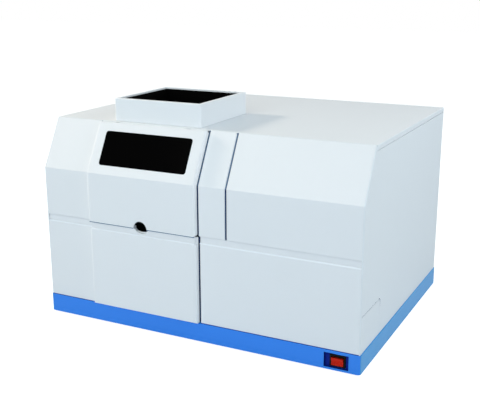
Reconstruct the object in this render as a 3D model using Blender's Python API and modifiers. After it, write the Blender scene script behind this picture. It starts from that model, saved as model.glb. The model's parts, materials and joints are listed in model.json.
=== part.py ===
"""Atomic absorption spectrometer, a bench instrument with a flame compartment under a square chimney.

Metres, +Z up. X runs along the front from left to right, Y runs from the front to the back.
The origin is the middle of the plinth, on the surface that the feet stand on.
"""
import math

import bmesh
import bpy
from mathutils import Matrix, Vector

# Clearances and cut overrun
fit = 0.0003
seam = 0.0006
running_gap = 0.0004
overrun = 0.004
weld_gap = 0.000001

# Plinth and feet
plinth_width = 0.700
plinth_depth = 0.536
plinth_height = 0.038
plinth_wall = 0.002
plinth_flange = 0.040
plinth_corner = 0.006
plinth_edge = 0.0014
foot_height = 0.003
foot_radius = 0.020
foot_inset = 0.030

# Case outline
case_inset = 0.0018
case_height = 0.3771
slope_run = 0.0533
slope_drop = 0.098
side_wall = 0.003
side_edge = 0.0022
cover_wall = 0.002
cover_flange = 0.010
cover_edge = 0.0016
rear_wall = 0.002
panel_wall = 0.003
panel_depth = 0.018
panel_edge = 0.0018
groove_rise = 0.1662
groove_height = 0.0133
groove_depth = 0.0095
groove_lip = 0.004
shadow_gap = 0.0009

# Places across the front
bay_inset = 0.2408
left_hood_edge = 0.1263
left_lower_edge = 0.1232
middle_hood_edge = 0.1263
right_lower_edge = 0.1283
middle_hood_width = 0.0575
hood_gap = 0.0028

# Chimney
chimney_width = 0.201
chimney_depth = 0.1965
chimney_height = 0.0462
chimney_wall = 0.008
chimney_corner = 0.004
chimney_edge = 0.0016
chimney_front = 0.0093
liner_wall = 0.0015
liner_step = 0.003
liner_drop = 0.022

# Flame door and its hinge
door_width = 0.2484
door_proud = 0.011
door_wall = 0.0035
door_edge = 0.005
door_foot_share = 0.3
barrel_radius = 0.006
barrel_back = 0.0066
barrel_length = 0.060
hinge_inset = 0.042
knuckle_width = 0.009
knuckle_radius = 0.0045
knuckle_gap = 0.0007
hinge_arm = 0.004
pin_radius = 0.002
pin_reach = 0.016
rail_depth = 0.008
rail_height = 0.010
notch_radius = 0.0154
window_width = 0.1993
window_bottom = 0.0189
window_top = 0.0906
window_corner = 0.005
window_lip = 0.005
pane_thickness = 0.0022

# Lower door and its hinge
lower_width = 0.2473
lower_shift = 0.00255
lower_foot = 0.002
lower_head = 0.0012
lower_round = 0.005
lower_round_shares = (0.7, 0.32)
ledge_rise = 0.1657
ledge_depth = 0.008
scoop_height = 0.008
lower_axis_in = 0.0055

# Side hatch
hatch_height = 0.0718
hatch_depth = 0.1085
hatch_corner = 0.006
hatch_pin = 0.0008
hatch_pin_reach = 0.0015

# Mains switch
pocket_end = 0.0224
pocket_width = 0.0483
pocket_low = 0.0040
pocket_height = 0.0290
pocket_depth = 0.0070
pocket_wall = 0.0015
switch_inset = 0.0453
switch_low = 0.0052
bezel_width = 0.0316
bezel_height = 0.0240
bezel_flange = 0.0020
bezel_rim = 0.0036
bezel_edge = 0.0007
switch_body_depth = 0.024
switch_body_inset = 0.0015
rocker_radius = 0.0115
rocker_tilt = 9.0
rocker_proud = 0.0030
rocker_pin = 0.0014

# Flame compartment
bay_wall = 0.0015
bay_front = 0.004
bay_back = 0.268
tube_radius = 0.014
tube_wall = 0.002
tube_reach = 0.012
lamp_tube_reach = 0.008
beam_rise = 0.254

# Burner, spray chamber and lift
burner_length = 0.120
burner_width = 0.026
burner_top_width = 0.018
burner_height = 0.032
burner_drop = 0.012
slot_length = 0.100
slot_width = 0.0006
slot_depth = 0.004
collar_radius = 0.020
collar_height = 0.014
collar_socket = 0.0095
neck_radius = 0.014
neck_wall = 0.002
chamber_radius = 0.026
chamber_front = 0.105
chamber_rear = 0.030
chamber_cap = 0.010
chamber_cap_radius = 0.030
chamber_rise = 0.124
nebulizer_radius = 0.008
nebulizer_length = 0.028
nebulizer_step = 0.021
nipple_radius = 0.0015
nipple_length = 0.010
trap_radius = 0.018
trap_height = 0.052
trap_neck = 0.005
trap_neck_length = 0.015
trap_back = 0.060
post_width = 0.040
post_depth = 0.014
post_height = 0.190
carriage_height = 0.050
carriage_depth = 0.018
carriage_wall = 0.008
carriage_back_gap = 0.0016
boss_radius = 0.014
screw_radius = 0.004
screw_out = 0.046
screw_front = 0.026
screw_wheel_radius = 0.015
screw_wheel_height = 0.012
screw_wheel_rise = 0.020
ear_floor = 0.001
ear_thickness = 0.008
ear_wall = 0.005
igniter_radius = 0.006
igniter_length = 0.030
igniter_rod = 0.0018
igniter_side = 0.060
igniter_rise = 0.018
igniter_reach = 0.026

# Lamp turret
turret_side_gap = 0.0032
turret_wall_gap = 0.0022
turret_rim = 0.003
turret_disc = 0.008
turret_column = 0.009
turret_rise = 0.052
turret_top_gap = 0.030
motor_width = 0.042
motor_height = 0.036
motor_shaft = 0.003
motor_edge = 0.0035
lamp_share = 0.37255
lamp_base_step = 0.003
lamp_base_height = 0.036
lamp_length = 0.150
lamp_neck = 0.012
lamp_edge = 0.003
mirror_width = 0.034
mirror_thickness = 0.006
mirror_arm = 0.004
mirror_foot = 0.026

# Optical bench and monochromator
bench_gap = 0.010
bench_end_gap = 0.0098
bench_width = 0.250
bench_wall = 0.003
bench_flange = 0.016
bench_height = 0.194
mono_end_gap = 0.022
mono_width = 0.220
mono_height = 0.110
mono_wall = 0.006
mono_lid = 0.004
slit_offset = 0.0746
slit_radius = 0.006
mirror_long = 0.170
mirror_block = 0.016
mirror_tall = 0.062
mirror_sag = 0.006
mirror_back = 0.010
table_radius = 0.028
table_height = 0.010
table_back = 0.070
table_shaft = 0.005
grating_width = 0.050
grating_tall = 0.050
grating_thickness = 0.010
drive_width = 0.042
drive_height = 0.034
detector_length = 0.084
detector_radius = 0.020
detector_flange = 0.026
detector_flange_depth = 0.006

# Electronics and gas control
supply_depth = 0.110
supply_height = 0.060
supply_vent = 0.002
supply_vents = 9
supply_vent_margin_share = 0.25
supply_wall_gap = 0.014
board_share = 0.4743
board_gap = 0.003
board_depth = 0.170
board_thickness = 0.0016
standoff_height = 0.012
standoff_radius = 0.004
standoff_inset = 0.010
chip_height = 0.003
chip_width = 0.020
gas_block_width = 0.090
gas_block_depth = 0.040
gas_block_height = 0.046
gas_valve_radius = 0.011
gas_valve_height = 0.030

# Rear panel fittings
port_reach = 0.011
port_radius = 0.0065
port_hex = 0.0085
port_hex_height = 0.004
port_bore = 0.0015
port_rise = 0.024
port_spacing = 0.044
port_inset = 0.080
port_seat = 0.010
inlet_inset = 0.060
inlet_rise = 0.040
inlet_width = 0.048
inlet_height = 0.030
inlet_flange = 0.003
inlet_body_width = 0.028
inlet_body_height = 0.020
inlet_depth = 0.024
inlet_socket_width = 0.024
inlet_socket_height = 0.0165
inlet_socket_depth = 0.016
inlet_pin = 0.004
inlet_pin_thickness = 0.002
inlet_pin_spacing = 0.007
inlet_pin_shares = ((-1.0, -0.4), (0.0, 0.5), (1.0, -0.4))
data_inset = 0.145
data_rise = 0.040
data_width = 0.031
data_height = 0.0125
data_depth = 0.010
data_flange = 0.001
data_socket_depth = 0.006
fan_size = 0.060
fan_depth = 0.020
fan_bore = 0.028
fan_hub = 0.013
fan_blades = 5
fan_blade_chord = 0.012
fan_blade_thickness = 0.0014
fan_pitch = 35.0
fan_tip_gap = 0.002
fan_axle = 0.002
fan_spider = 0.002
fan_arm = 0.004
fan_corner = 0.004
fan_inset = 0.160
fan_rise = 0.240
fan_hole_gap = 0.003
vent_count = 7
vent_length = 0.065
vent_width = 0.005
vent_pitch = 0.014
vent_inset = 0.060
vent_rise = 0.200

# Levels and planes that follow from the sizes above
plinth_low = foot_height
plinth_top = plinth_low + plinth_height
case_half = plinth_width / 2 - case_inset
front = -plinth_depth / 2 + case_inset
back = plinth_depth / 2 - case_inset
case_low = plinth_top + fit
case_top = plinth_top + case_height
bend = front + slope_run
break_level = case_top - slope_drop
slope_length = math.hypot(slope_run, slope_drop)
slope_rate = slope_run / slope_drop
groove_low = plinth_top + groove_rise
groove_high = groove_low + groove_height
inner_half = case_half - side_wall - fit
beam_level = plinth_top + beam_rise
bay_centre = bay_inset - plinth_width / 2
pocket_left = plinth_width / 2 - pocket_end - pocket_width
switch_centre = plinth_width / 2 - switch_inset
port_side = plinth_width / 2 - port_inset
vent_side = plinth_width / 2 - vent_inset
inlet_side = plinth_width / 2 - inlet_inset
data_side = plinth_width / 2 - data_inset
fan_side = plinth_width / 2 - fan_inset
chimney_low_y = bend + chimney_front
chimney_mid_y = chimney_low_y + chimney_depth / 2

scene_parts = {}


def start_scene():
    """Clears the scene and makes the two collections."""
    for item in list(bpy.data.objects):
        bpy.data.objects.remove(item, do_unlink=True)
    made = []
    for label in ("atomic_absorption_spectrometer", "cutters"):
        group = bpy.data.collections.new(label)
        bpy.context.scene.collection.children.link(group)
        made.append(group)
    return made


parts_group, cutters_group = start_scene()


# Materials
def paint(name, colour, roughness, metallic=0.0):
    """One Principled material, its colour given as sRGB shares."""
    mat = bpy.data.materials.new(name)
    mat.use_nodes = True
    linear = [((c + 0.055) / 1.055) ** 2.4 if c > 0.04045 else c / 12.92 for c in colour]
    shader = mat.node_tree.nodes["Principled BSDF"]
    shader.inputs["Base Color"].default_value = (*linear, 1.0)
    shader.inputs["Roughness"].default_value = roughness
    shader.inputs["Metallic"].default_value = metallic
    mat.diffuse_color = (*linear, 1.0)
    return mat


# Basic shapes
def keep(obj, mat):
    """Gives a finished piece its material and even shading."""
    shading = obj.modifiers.new("shading", "WEIGHTED_NORMAL")
    shading.keep_sharp = True
    obj.data.materials.clear()
    obj.data.materials.append(mat)
    scene_parts[obj.name] = obj
    return obj


def link(name, mesh, group):
    obj = bpy.data.objects.new(name, mesh)
    group.objects.link(obj)
    return obj


def as_cutter(obj):
    """Hides an operand of a Boolean and moves it to the cutters collection."""
    for group in list(obj.users_collection):
        group.objects.unlink(obj)
    cutters_group.objects.link(obj)
    obj.hide_render = True
    obj.display_type = "WIRE"
    return obj


def box(name, low, high):
    """A box between two corners, its origin in its middle."""
    low, high = Vector(low), Vector(high)
    mesh = bpy.data.meshes.new(name)
    shape = bmesh.new()
    size = high - low
    bmesh.ops.create_cube(shape, size=1.0, matrix=Matrix.Diagonal((*size, 1.0)))
    shape.to_mesh(mesh)
    shape.free()
    obj = link(name, mesh, parts_group)
    obj.location = (low + high) / 2
    return obj


turns = {"X": (0, math.pi / 2, 0), "Y": (-math.pi / 2, 0, 0), "-Y": (math.pi / 2, 0, 0), "Z": (0, 0, 0)}


def smooth(obj, angle=35.0):
    obj.data.shade_smooth()
    obj.data.set_sharp_from_angle(angle=math.radians(angle))
    return obj


def rod(name, radius, start, length, axis="Z", sides=24, top_radius=None):
    """A cylinder or cone from its start point along one axis."""
    mesh = bpy.data.meshes.new(name)
    shape = bmesh.new()
    end_radius = radius if top_radius is None else top_radius
    bmesh.ops.create_cone(shape, cap_ends=True, segments=sides, radius1=radius, radius2=end_radius,
                          depth=length)
    shape.to_mesh(mesh)
    shape.free()
    obj = link(name, mesh, parts_group)
    obj.rotation_euler = turns[axis]
    step = {"X": (length / 2, 0, 0), "Y": (0, length / 2, 0), "Z": (0, 0, length / 2)}[axis]
    obj.location = Vector(start) + Vector(step)
    return smooth(obj)


def turned(name, profile, place, axis="Z", sides=24):
    """A solid of revolution; the profile of (radius, height) runs down its outer side."""
    mesh = bpy.data.meshes.new(name)
    shape = bmesh.new()
    points = [shape.verts.new((radius, 0, height)) for radius, height in profile]
    for one, two in zip(points, points[1:]):
        shape.edges.new((one, two))
    shape.to_mesh(mesh)
    shape.free()
    obj = link(name, mesh, parts_group)
    spin = obj.modifiers.new("spin", "SCREW")
    spin.steps = sides
    spin.render_steps = sides
    spin.use_merge_vertices = True
    spin.merge_threshold = weld_gap
    spin.use_smooth_shade = True
    obj.rotation_euler = turns[axis]
    obj.location = place
    return obj


planes = {"XY": (0, 0, 0), "XZ": (math.pi / 2, 0, 0), "YZ": (math.pi / 2, 0, math.pi / 2)}


def slab(name, outlines, low, high, plane):
    """A flat outline, with any holes after it, pushed out between two levels across its plane."""
    curve = bpy.data.curves.new(name, "CURVE")
    curve.dimensions = "2D"
    curve.fill_mode = "BOTH"
    curve.extrude = (high - low) / 2
    for outline in outlines:
        line = curve.splines.new("POLY")
        line.points.add(len(outline) - 1)
        for point, place in zip(line.points, outline):
            point.co = (place[0], place[1], 0, 1)
        line.use_cyclic_u = True
    flat = link(name + "_outline", curve, parts_group)
    flat.rotation_euler = planes[plane]
    middle = (low + high) / 2
    flat.location = {"XY": (0, 0, middle), "XZ": (0, middle, 0), "YZ": (middle, 0, 0)}[plane]
    return meshed(flat, name)


def meshed(curve_obj, name):
    """Turns a curve object into a closed mesh object at the same place."""
    bpy.context.view_layer.update()
    graph = bpy.context.evaluated_depsgraph_get()
    mesh = bpy.data.meshes.new_from_object(curve_obj.evaluated_get(graph))
    shape = bmesh.new()
    shape.from_mesh(mesh)
    bmesh.ops.remove_doubles(shape, verts=shape.verts, dist=weld_gap)
    bmesh.ops.dissolve_limit(shape, angle_limit=math.radians(0.5), verts=shape.verts, edges=shape.edges)
    bmesh.ops.recalc_face_normals(shape, faces=shape.faces)
    shape.to_mesh(mesh)
    shape.free()
    mesh.name = name
    obj = link(name, mesh, parts_group)
    obj.matrix_world = curve_obj.matrix_world.copy()
    bpy.data.objects.remove(curve_obj, do_unlink=True)
    return obj


def cut(obj, *cutters):
    for cutter in cutters:
        step = obj.modifiers.new("cut_" + cutter.name, "BOOLEAN")
        step.operation = "DIFFERENCE"
        step.object = as_cutter(cutter)
        step.solver = "EXACT"
    return obj


def fuse(obj, *others):
    for other in others:
        step = obj.modifiers.new("join_" + other.name, "BOOLEAN")
        step.operation = "UNION"
        step.object = as_cutter(other)
        step.solver = "EXACT"
    return obj


def round_edges(obj, width, share_of, segments=2):
    """Bevels edges by the share of the width that share_of gives for an edge's two world points."""
    shape = bmesh.new()
    shape.from_mesh(obj.data)
    weight = shape.edges.layers.float.new("bevel_weight_edge")
    bpy.context.view_layer.update()
    place = obj.matrix_world
    for edge in shape.edges:
        edge[weight] = share_of(place @ edge.verts[0].co, place @ edge.verts[1].co)
    shape.to_mesh(obj.data)
    shape.free()
    step = obj.modifiers.new("edges", "BEVEL")
    step.limit_method = "WEIGHT"
    step.offset_type = "OFFSET"
    step.width = width
    step.segments = segments
    step.use_clamp_overlap = True
    return smooth(obj, 50.0)


def near(value, target):
    return abs(value - target) < fit / 3


def both(one, two, axis, target):
    """True where both ends of an edge lie at one level along an axis."""
    return near(one[axis], target) and near(two[axis], target)


def along(one, two, axis):
    """True where an edge runs along one axis."""
    others = [i for i in range(3) if i != axis]
    return all(near(one[i], two[i]) for i in others)


def pivot(name, place):
    """An empty on a joint's axis."""
    empty = bpy.data.objects.new(name, None)
    parts_group.objects.link(empty)
    empty.location = place
    return empty


def ride(parent, *pieces):
    for piece in pieces:
        piece.parent = parent
        piece.location = Vector(piece.location) - Vector(parent.location)


def round_box_outline(low, high, radius, steps=4):
    """A rectangle with round corners as a list of points."""
    (x0, y0), (x1, y1) = low, high
    centres = ((x1 - radius, y1 - radius, 0), (x0 + radius, y1 - radius, 90),
               (x0 + radius, y0 + radius, 180), (x1 - radius, y0 + radius, 270))
    points = []
    for cx, cy, start in centres:
        for i in range(steps + 1):
            angle = math.radians(start + 90 * i / steps)
            points.append((cx + radius * math.cos(angle), cy + radius * math.sin(angle)))
    return points


# The case's front outline, offset inward by a distance; a negative offset stands proud
def slope_y(level, offset=0.0):
    """Y on the offset slope at a level."""
    return bend + offset * slope_length / slope_drop - (case_top - level) * slope_rate


def break_z(offset=0.0):
    """Level where the offset front meets the offset slope."""
    return break_level + offset * (slope_drop - slope_length) / slope_run


def front_points(offset, low, high):
    """The three points of the offset front between two levels."""
    return [(front + offset, low), (front + offset, break_z(offset)), (slope_y(high, offset), high)]


# Materials of the real pieces
white_paint = paint("white_moulding", (0.91, 0.93, 0.945), 0.42)
white_steel = paint("white_steel", (0.90, 0.92, 0.935), 0.45)
blue_paint = paint("blue_plinth", (0.22, 0.49, 0.88), 0.42)
black_acrylic = paint("smoked_acrylic", (0.02, 0.02, 0.022), 0.08)
black_plastic = paint("black_plastic", (0.03, 0.03, 0.033), 0.4)
red_plastic = paint("red_rocker", (0.72, 0.12, 0.04), 0.25)
black_steel = paint("black_steel", (0.05, 0.05, 0.055), 0.55, 0.2)
steel = paint("plain_steel", (0.62, 0.63, 0.64), 0.32, 1.0)
rubber = paint("foot_rubber", (0.05, 0.05, 0.05), 0.8)
titanium = paint("burner_titanium", (0.50, 0.49, 0.47), 0.35, 1.0)
grey_plastic = paint("grey_polymer", (0.45, 0.46, 0.47), 0.45)
aluminium = paint("cast_aluminium", (0.68, 0.69, 0.70), 0.4, 1.0)
lamp_glass = paint("lamp_glass", (0.72, 0.75, 0.77), 0.08)
mirror_glass = paint("mirror_face", (0.80, 0.82, 0.84), 0.03, 1.0)
lens_black = paint("lens_mount", (0.06, 0.06, 0.065), 0.35, 0.6)
board_green = paint("board_green", (0.05, 0.27, 0.15), 0.4)
brass = paint("brass", (0.75, 0.60, 0.30), 0.3, 1.0)


# Plinth and feet
def make_plinth():
    half_x, half_y = plinth_width / 2, plinth_depth / 2
    body = box("plinth", (-half_x, -half_y, plinth_low), (half_x, half_y, plinth_top))

    def share(one, two):
        if along(one, two, 2):
            return 1.0
        return plinth_edge / plinth_corner if both(one, two, 2, plinth_top) else 0.0

    round_edges(body, plinth_corner, share, 3)
    wall = plinth_wall
    cavity = box("plinth_cavity", (-half_x + wall, -half_y + wall, plinth_low + wall),
                 (half_x - wall, half_y - wall, plinth_top - wall))
    open_x, open_y = half_x - plinth_flange, half_y - plinth_flange
    opening = box("plinth_opening", (-open_x, -open_y, plinth_low - overrun),
                  (open_x, open_y, plinth_low + wall + overrun))
    cut(body, cavity, opening)
    low, high = pocket_corners()
    tray = box("pocket_tray", (low[0] - pocket_wall, -half_y + wall / 2, low[1] - pocket_wall),
               (high[0] + pocket_wall, -half_y + pocket_depth + pocket_wall, high[1] + pocket_wall))
    fuse(body, tray)
    pocket = box("pocket", (low[0], -half_y - overrun, low[1]), (high[0], -half_y + pocket_depth, high[1]))
    hole_low, hole_high = switch_body_corners(fit)
    hole = box("switch_hole", (hole_low[0], -half_y, hole_low[1]),
               (hole_high[0], -half_y + pocket_depth + pocket_wall + overrun, hole_high[1]))
    cut(body, pocket, hole)
    axis_x, axis_y = hatch_axis()
    cut(body, rod("hatch_pin_hole", hatch_pin + fit, (axis_x, axis_y, plinth_top - hatch_pin_reach - fit),
                  hatch_pin_reach + fit + overrun, sides=12))
    keep(body, blue_paint)
    for side, x in (("left", -1), ("right", 1)):
        for end, y in (("front", -1), ("rear", 1)):
            place = (x * (half_x - foot_inset), y * (half_y - foot_inset), 0)
            keep(rod("foot_" + end + "_" + side, foot_radius - fit, place, foot_height - fit), rubber)


def pocket_corners():
    low = (pocket_left, plinth_low + pocket_low)
    return low, (low[0] + pocket_width, low[1] + pocket_height)


def bezel_corners():
    low = (switch_centre - bezel_width / 2, plinth_low + switch_low)
    return low, (low[0] + bezel_width, low[1] + bezel_height)


def switch_body_corners(gap):
    """The outline of the switch body behind its flange, widened by a gap."""
    low, high = bezel_corners()
    inset = switch_body_inset + fit - gap
    return (low[0] + inset, low[1] + inset), (high[0] - inset, high[1] - inset)


# Mains switch
def make_switch():
    low, high = bezel_corners()
    floor = -plinth_depth / 2 + pocket_depth
    face = floor - fit - bezel_flange
    body = box("switch_bezel", (low[0], face, low[1]), (high[0], floor - fit, high[1]))
    round_edges(body, bezel_edge, lambda a, b: 1.0 if both(a, b, 1, face) else 0.0)
    body_low, body_high = switch_body_corners(0.0)
    shank = box("switch_shank", (body_low[0], face + bezel_flange / 2, body_low[1]),
                (body_high[0], floor + switch_body_depth, body_high[1]))
    fuse(body, shank)
    rim = bezel_rim
    well_depth = rocker_radius + bezel_flange
    well = box("switch_well", (low[0] + rim, face - overrun, low[1] + rim),
               (high[0] - rim, face + well_depth, high[1] - rim))
    cut(body, well)
    mid_z = (low[1] + high[1]) / 2
    axis_y = face + bezel_flange + rocker_pin
    pin_length = bezel_width - 2 * rim + 2 * rocker_pin
    hole_length = pin_length + 2 * fit
    cut(body, rod("switch_pin_hole", rocker_pin + fit, (switch_centre - hole_length / 2, axis_y, mid_z),
                  hole_length, "X", 12))
    keep(body, black_plastic)
    half_x = bezel_width / 2 - rim - fit * 2
    half_z = bezel_height / 2 - rim - fit * 2
    proud = axis_y - face + rocker_proud
    dish = proud - rocker_proud / 2
    root = half_z / 2
    outline = [(-proud, -half_z), (-dish, 0), (-proud, half_z), (root, root), (root, -root)]
    rocker = slab("switch_rocker", [outline], -half_x, half_x, "YZ")
    rocker.location = (switch_centre, axis_y, mid_z)
    fuse(rocker, local_pin("rocker_pin_bar", rocker, pin_length / 2))
    keep(rocker, red_plastic)
    hub = pivot("rocker_pivot", (switch_centre, axis_y, mid_z))
    ride(hub, rocker)
    hub.rotation_euler = (math.radians(rocker_tilt), 0, 0)


def local_pin(name, owner, half_length):
    """A pin through an object's own origin along X, riding on the object."""
    pin = rod(name, rocker_pin, (owner.location[0] - half_length, owner.location[1], owner.location[2]),
              2 * half_length, "X", 12)
    pin.parent = owner
    bpy.context.view_layer.update()
    pin.matrix_parent_inverse = owner.matrix_world.inverted()
    return pin


# Case shells
def chimney_hole(gap):
    """The outline of the hole that the flue goes through, widened by a gap."""
    half_x = chimney_width / 2 - chimney_wall - fit + gap
    half_y = chimney_depth / 2 - chimney_wall - fit + gap
    return ((bay_centre - half_x, chimney_mid_y - half_y), (bay_centre + half_x, chimney_mid_y + half_y))


def make_top_cover():
    y0 = bend + seam
    body = box("top_cover", (-case_half, y0, case_top - cover_flange), (case_half, back, case_top))

    def share(one, two):
        if both(one, two, 1, y0):
            return 0.0
        if both(one, two, 2, case_top):
            return 1.0
        return 1.0 if along(one, two, 2) else 0.0

    round_edges(body, cover_edge, share)
    wall = cover_wall
    hollow = box("cover_hollow", (-case_half + wall, y0 - overrun, case_top - cover_flange - overrun),
                 (case_half - wall, back - wall, case_top - wall))
    low, high = chimney_hole(fit)
    hole = box("cover_hole", (*low, case_top - wall - overrun), (*high, case_top + overrun))
    keep(cut(body, hollow, hole), white_steel)


def hatch_axis():
    return case_half - side_wall / 2, front + side_wall / 2


def hatch_outline(gap):
    """The hatch in the side panel, widened by a gap at its head and its rear edge."""
    y0, y1 = front, front + hatch_depth + gap
    z0, z1 = plinth_top + fit, plinth_top + hatch_height + gap
    radius = hatch_corner + gap
    steps = 5
    arc = [(y1 - radius + radius * math.cos(math.radians(90 * i / steps)),
            z1 - radius + radius * math.sin(math.radians(90 * i / steps))) for i in range(steps + 1)]
    return y0, z0, y1, z1, arc


def side_outline():
    top_step = case_top - cover_flange - seam
    return [(front, case_low), (front, break_level), (bend, case_top), (bend, top_step),
            (back, top_step), (back, case_low)]


def make_side_panel(name, sign):
    outer = sign * case_half
    inner = sign * (case_half - side_wall)
    body = slab(name, [side_outline()], min(outer, inner), max(outer, inner), "YZ")

    def share(one, two):
        if not both(one, two, 0, outer):
            return 0.0
        if both(one, two, 2, case_low) or both(one, two, 2, case_top - cover_flange - seam):
            return 0.0
        return 0.0 if both(one, two, 1, bend) else 1.0

    round_edges(body, side_edge, share)
    if sign > 0:
        y0, z0, y1, z1, arc = hatch_outline(seam)
        outline = [(y0 - overrun, z0 - overrun), (y1, z0 - overrun)] + arc + [(y0 - overrun, z1)]
        axis_x, axis_y = hatch_axis()
        cut(body, slab("hatch_opening", [outline], inner - overrun, outer + overrun, "YZ"),
            rod("hatch_head_hole", hatch_pin + fit, (axis_x, axis_y, z1 - overrun),
                overrun + hatch_pin_reach + fit, sides=12))
    return keep(body, white_steel)


def make_hatch():
    outer, inner = case_half, case_half - side_wall
    y0, z0, y1, z1, arc = hatch_outline(0.0)
    outline = [(y0, z0), (y1, z0)] + arc + [(y0, z1)]
    body = slab("side_hatch", [outline], inner, outer, "YZ")
    round_edges(body, side_wall / 2 - fit,
                lambda a, b: 1.0 if both(a, b, 1, front) and along(a, b, 2) else 0.0, 3)
    axis_x, axis_y = hatch_axis()
    base = z0 - hatch_pin_reach
    pin = rod("hatch_pintle", hatch_pin, (axis_x, axis_y, base), z1 - z0 + 2 * hatch_pin_reach, sides=12)
    keep(fuse(body, pin), white_steel)
    ride(pivot("hatch_pivot", (axis_x, axis_y, z0)), body)


def make_rear_panel():
    body = box("rear_panel", (-inner_half, back - rear_wall, case_low),
               (inner_half, back, case_top - cover_flange - seam))
    y0, y1 = back - rear_wall - overrun, back + overrun
    low, high = inlet_corners(inlet_body_width, inlet_body_height)
    cut(body, box("inlet_hole", (low[0] - fit, y0, low[1] - fit), (high[0] + fit, y1, high[1] + fit)))
    low, high = data_corners(0.0)
    cut(body, box("data_hole", (low[0] - fit, y0, low[1] - fit), (high[0] + fit, y1, high[1] + fit)))
    for i in range(2):
        x, z = port_place(i)
        cut(body, rod("port_hole", port_radius + fit, (x, y0, z), y1 - y0, "Y"))
    spoke = fan_arm
    ring = fan_bore - fan_hole_gap
    x, z = fan_side, plinth_top + fan_rise
    for i in range(4):
        start = 90 * i
        outline = []
        for radius, order in ((ring, range(0, 9)), (fan_hub, range(8, -1, -1))):
            spread = math.degrees(math.asin(spoke / 2 / radius))
            for k in order:
                angle = math.radians(start + spread + (90 - 2 * spread) * k / 8)
                outline.append((x + radius * math.cos(angle), z + radius * math.sin(angle)))
        cut(body, slab("fan_hole_" + str(i), [outline], y0, y1, "XZ"))
    for i in range(vent_count):
        level = plinth_top + vent_rise + i * vent_pitch
        cut(body, box("vent_" + str(i), (-vent_side, y0, level),
                      (-vent_side + vent_length, y1, level + vent_width)))
    keep(body, white_steel)


def moulding(name, x0, x1, outer, hollow, ends, mat):
    """A moulded front panel: an outline pushed out, hollowed from behind, with walls at its ends."""
    body = slab(name, [outer], x0, x1, "YZ")
    faces = [point[0] for point in outer]
    rear = max(faces)
    level_low = min(point[1] for point in outer)

    def share(one, two):
        if along(one, two, 0):
            lip = both(one, two, 2, groove_low) and both(one, two, 1, front)
            return groove_lip / panel_edge if lip else 0.0
        on_end = (ends[0] and both(one, two, 0, x0)) or (ends[1] and both(one, two, 0, x1))
        if not on_end or both(one, two, 1, rear) or both(one, two, 2, level_low):
            return 0.0
        on_face = max(one[1], two[1]) <= slope_y(max(one[2], two[2])) + fit or both(one, two, 1, front)
        return 1.0 if on_face else 0.0

    round_edges(body, panel_edge, share)
    inside = slab(name + "_hollow", [hollow], x0 + panel_wall, x1 - panel_wall, "YZ")
    return keep(cut(body, inside), mat)


def hood_outlines():
    rear = panel_depth
    outer = front_points(0.0, groove_high, case_top)
    outer = outer[:2] + [(bend, case_top), (bend, case_top - rear * slope_length / slope_run)]
    outer += [(front + rear, break_z(rear)), (front + rear, groove_high)]
    wall = panel_wall
    beyond = rear + overrun
    hollow = [(front + wall, groove_high + wall), (front + wall, break_z(wall)),
              (slope_y(case_top - 2 * wall, wall), case_top - 2 * wall)]
    hollow += [(slope_y(case_top - 2 * wall, beyond), case_top - 2 * wall),
               (front + beyond, break_z(beyond)), (front + beyond, groove_high + wall)]
    return outer, hollow


def lower_outlines():
    rear, wall = panel_depth, panel_wall
    top = groove_high - fit
    inset = front + groove_depth
    low = plinth_top + shadow_gap
    outer = [(front, low), (front, groove_low), (inset, groove_low), (inset, top),
             (front + rear, top), (front + rear, low)]
    beyond = front + rear + overrun
    hollow = [(front + wall, low + wall), (front + wall, groove_low - wall),
              (inset + wall, groove_low - wall), (inset + wall, top - wall), (beyond, top - wall),
              (beyond, low + wall)]
    return outer, hollow


def make_front_panels():
    middle_left = bay_centre + middle_hood_edge
    middle_right = middle_left + middle_hood_width
    outer, hollow = hood_outlines()
    moulding("left_hood", -inner_half, bay_centre - left_hood_edge, outer, hollow, (False, True),
             white_paint)
    moulding("middle_hood", middle_left, middle_right, outer, hollow, (True, True), white_paint)
    moulding("right_hood", middle_right + hood_gap, inner_half, outer, hollow, (True, False),
             white_paint)
    outer, hollow = lower_outlines()
    moulding("left_lower_panel", -inner_half, bay_centre - left_lower_edge, outer, hollow, (False, True),
             white_paint)
    moulding("right_lower_panel", bay_centre + right_lower_edge, inner_half, outer, hollow, (True, False),
             white_paint)


# Chimney
def make_chimney():
    low = (bay_centre - chimney_width / 2, chimney_low_y)
    high = (bay_centre + chimney_width / 2, chimney_low_y + chimney_depth)
    base, head = case_top + fit, case_top + chimney_height
    collar = box("chimney_collar", (*low, base), (*high, head))

    def share(one, two):
        if along(one, two, 2):
            return 1.0
        return chimney_edge / chimney_corner if both(one, two, 2, head) else 0.0

    round_edges(collar, chimney_corner, share, 3)
    wall = chimney_wall
    bore = box("chimney_bore", (low[0] + wall, low[1] + wall, base - overrun),
               (high[0] - wall, high[1] - wall, head + overrun))
    keep(cut(collar, bore), white_paint)
    (x0, y0), (x1, y1) = chimney_hole(0.0)
    wall = liner_wall
    flue = box("chimney_liner", (x0, y0, case_top - liner_drop), (x1, y1, head - liner_step))
    inside = box("liner_bore", (x0 + wall, y0 + wall, case_top - liner_drop - overrun),
                 (x1 - wall, y1 - wall, head + overrun))
    keep(cut(flue, inside), black_steel)


# Flame door
def door_axis():
    return bend - barrel_back, case_top - barrel_radius


def door_outline(offset):
    """The flame door's section, offset inward from its outer face."""
    proud = -door_proud + offset
    top = case_top - offset
    axis_y, axis_z = door_axis()
    low = groove_high + offset
    points = front_points(proud, low, top)
    if offset == 0.0:
        return points + [(axis_y, case_top), (slope_y(axis_z), axis_z), (front, break_level),
                         (front, low)]
    behind = overrun
    top = axis_z - barrel_radius - offset
    points = front_points(proud, low, top)
    return points + [(slope_y(top, behind), top), (front + behind, break_z(behind)),
                     (front + behind, low)]


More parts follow.
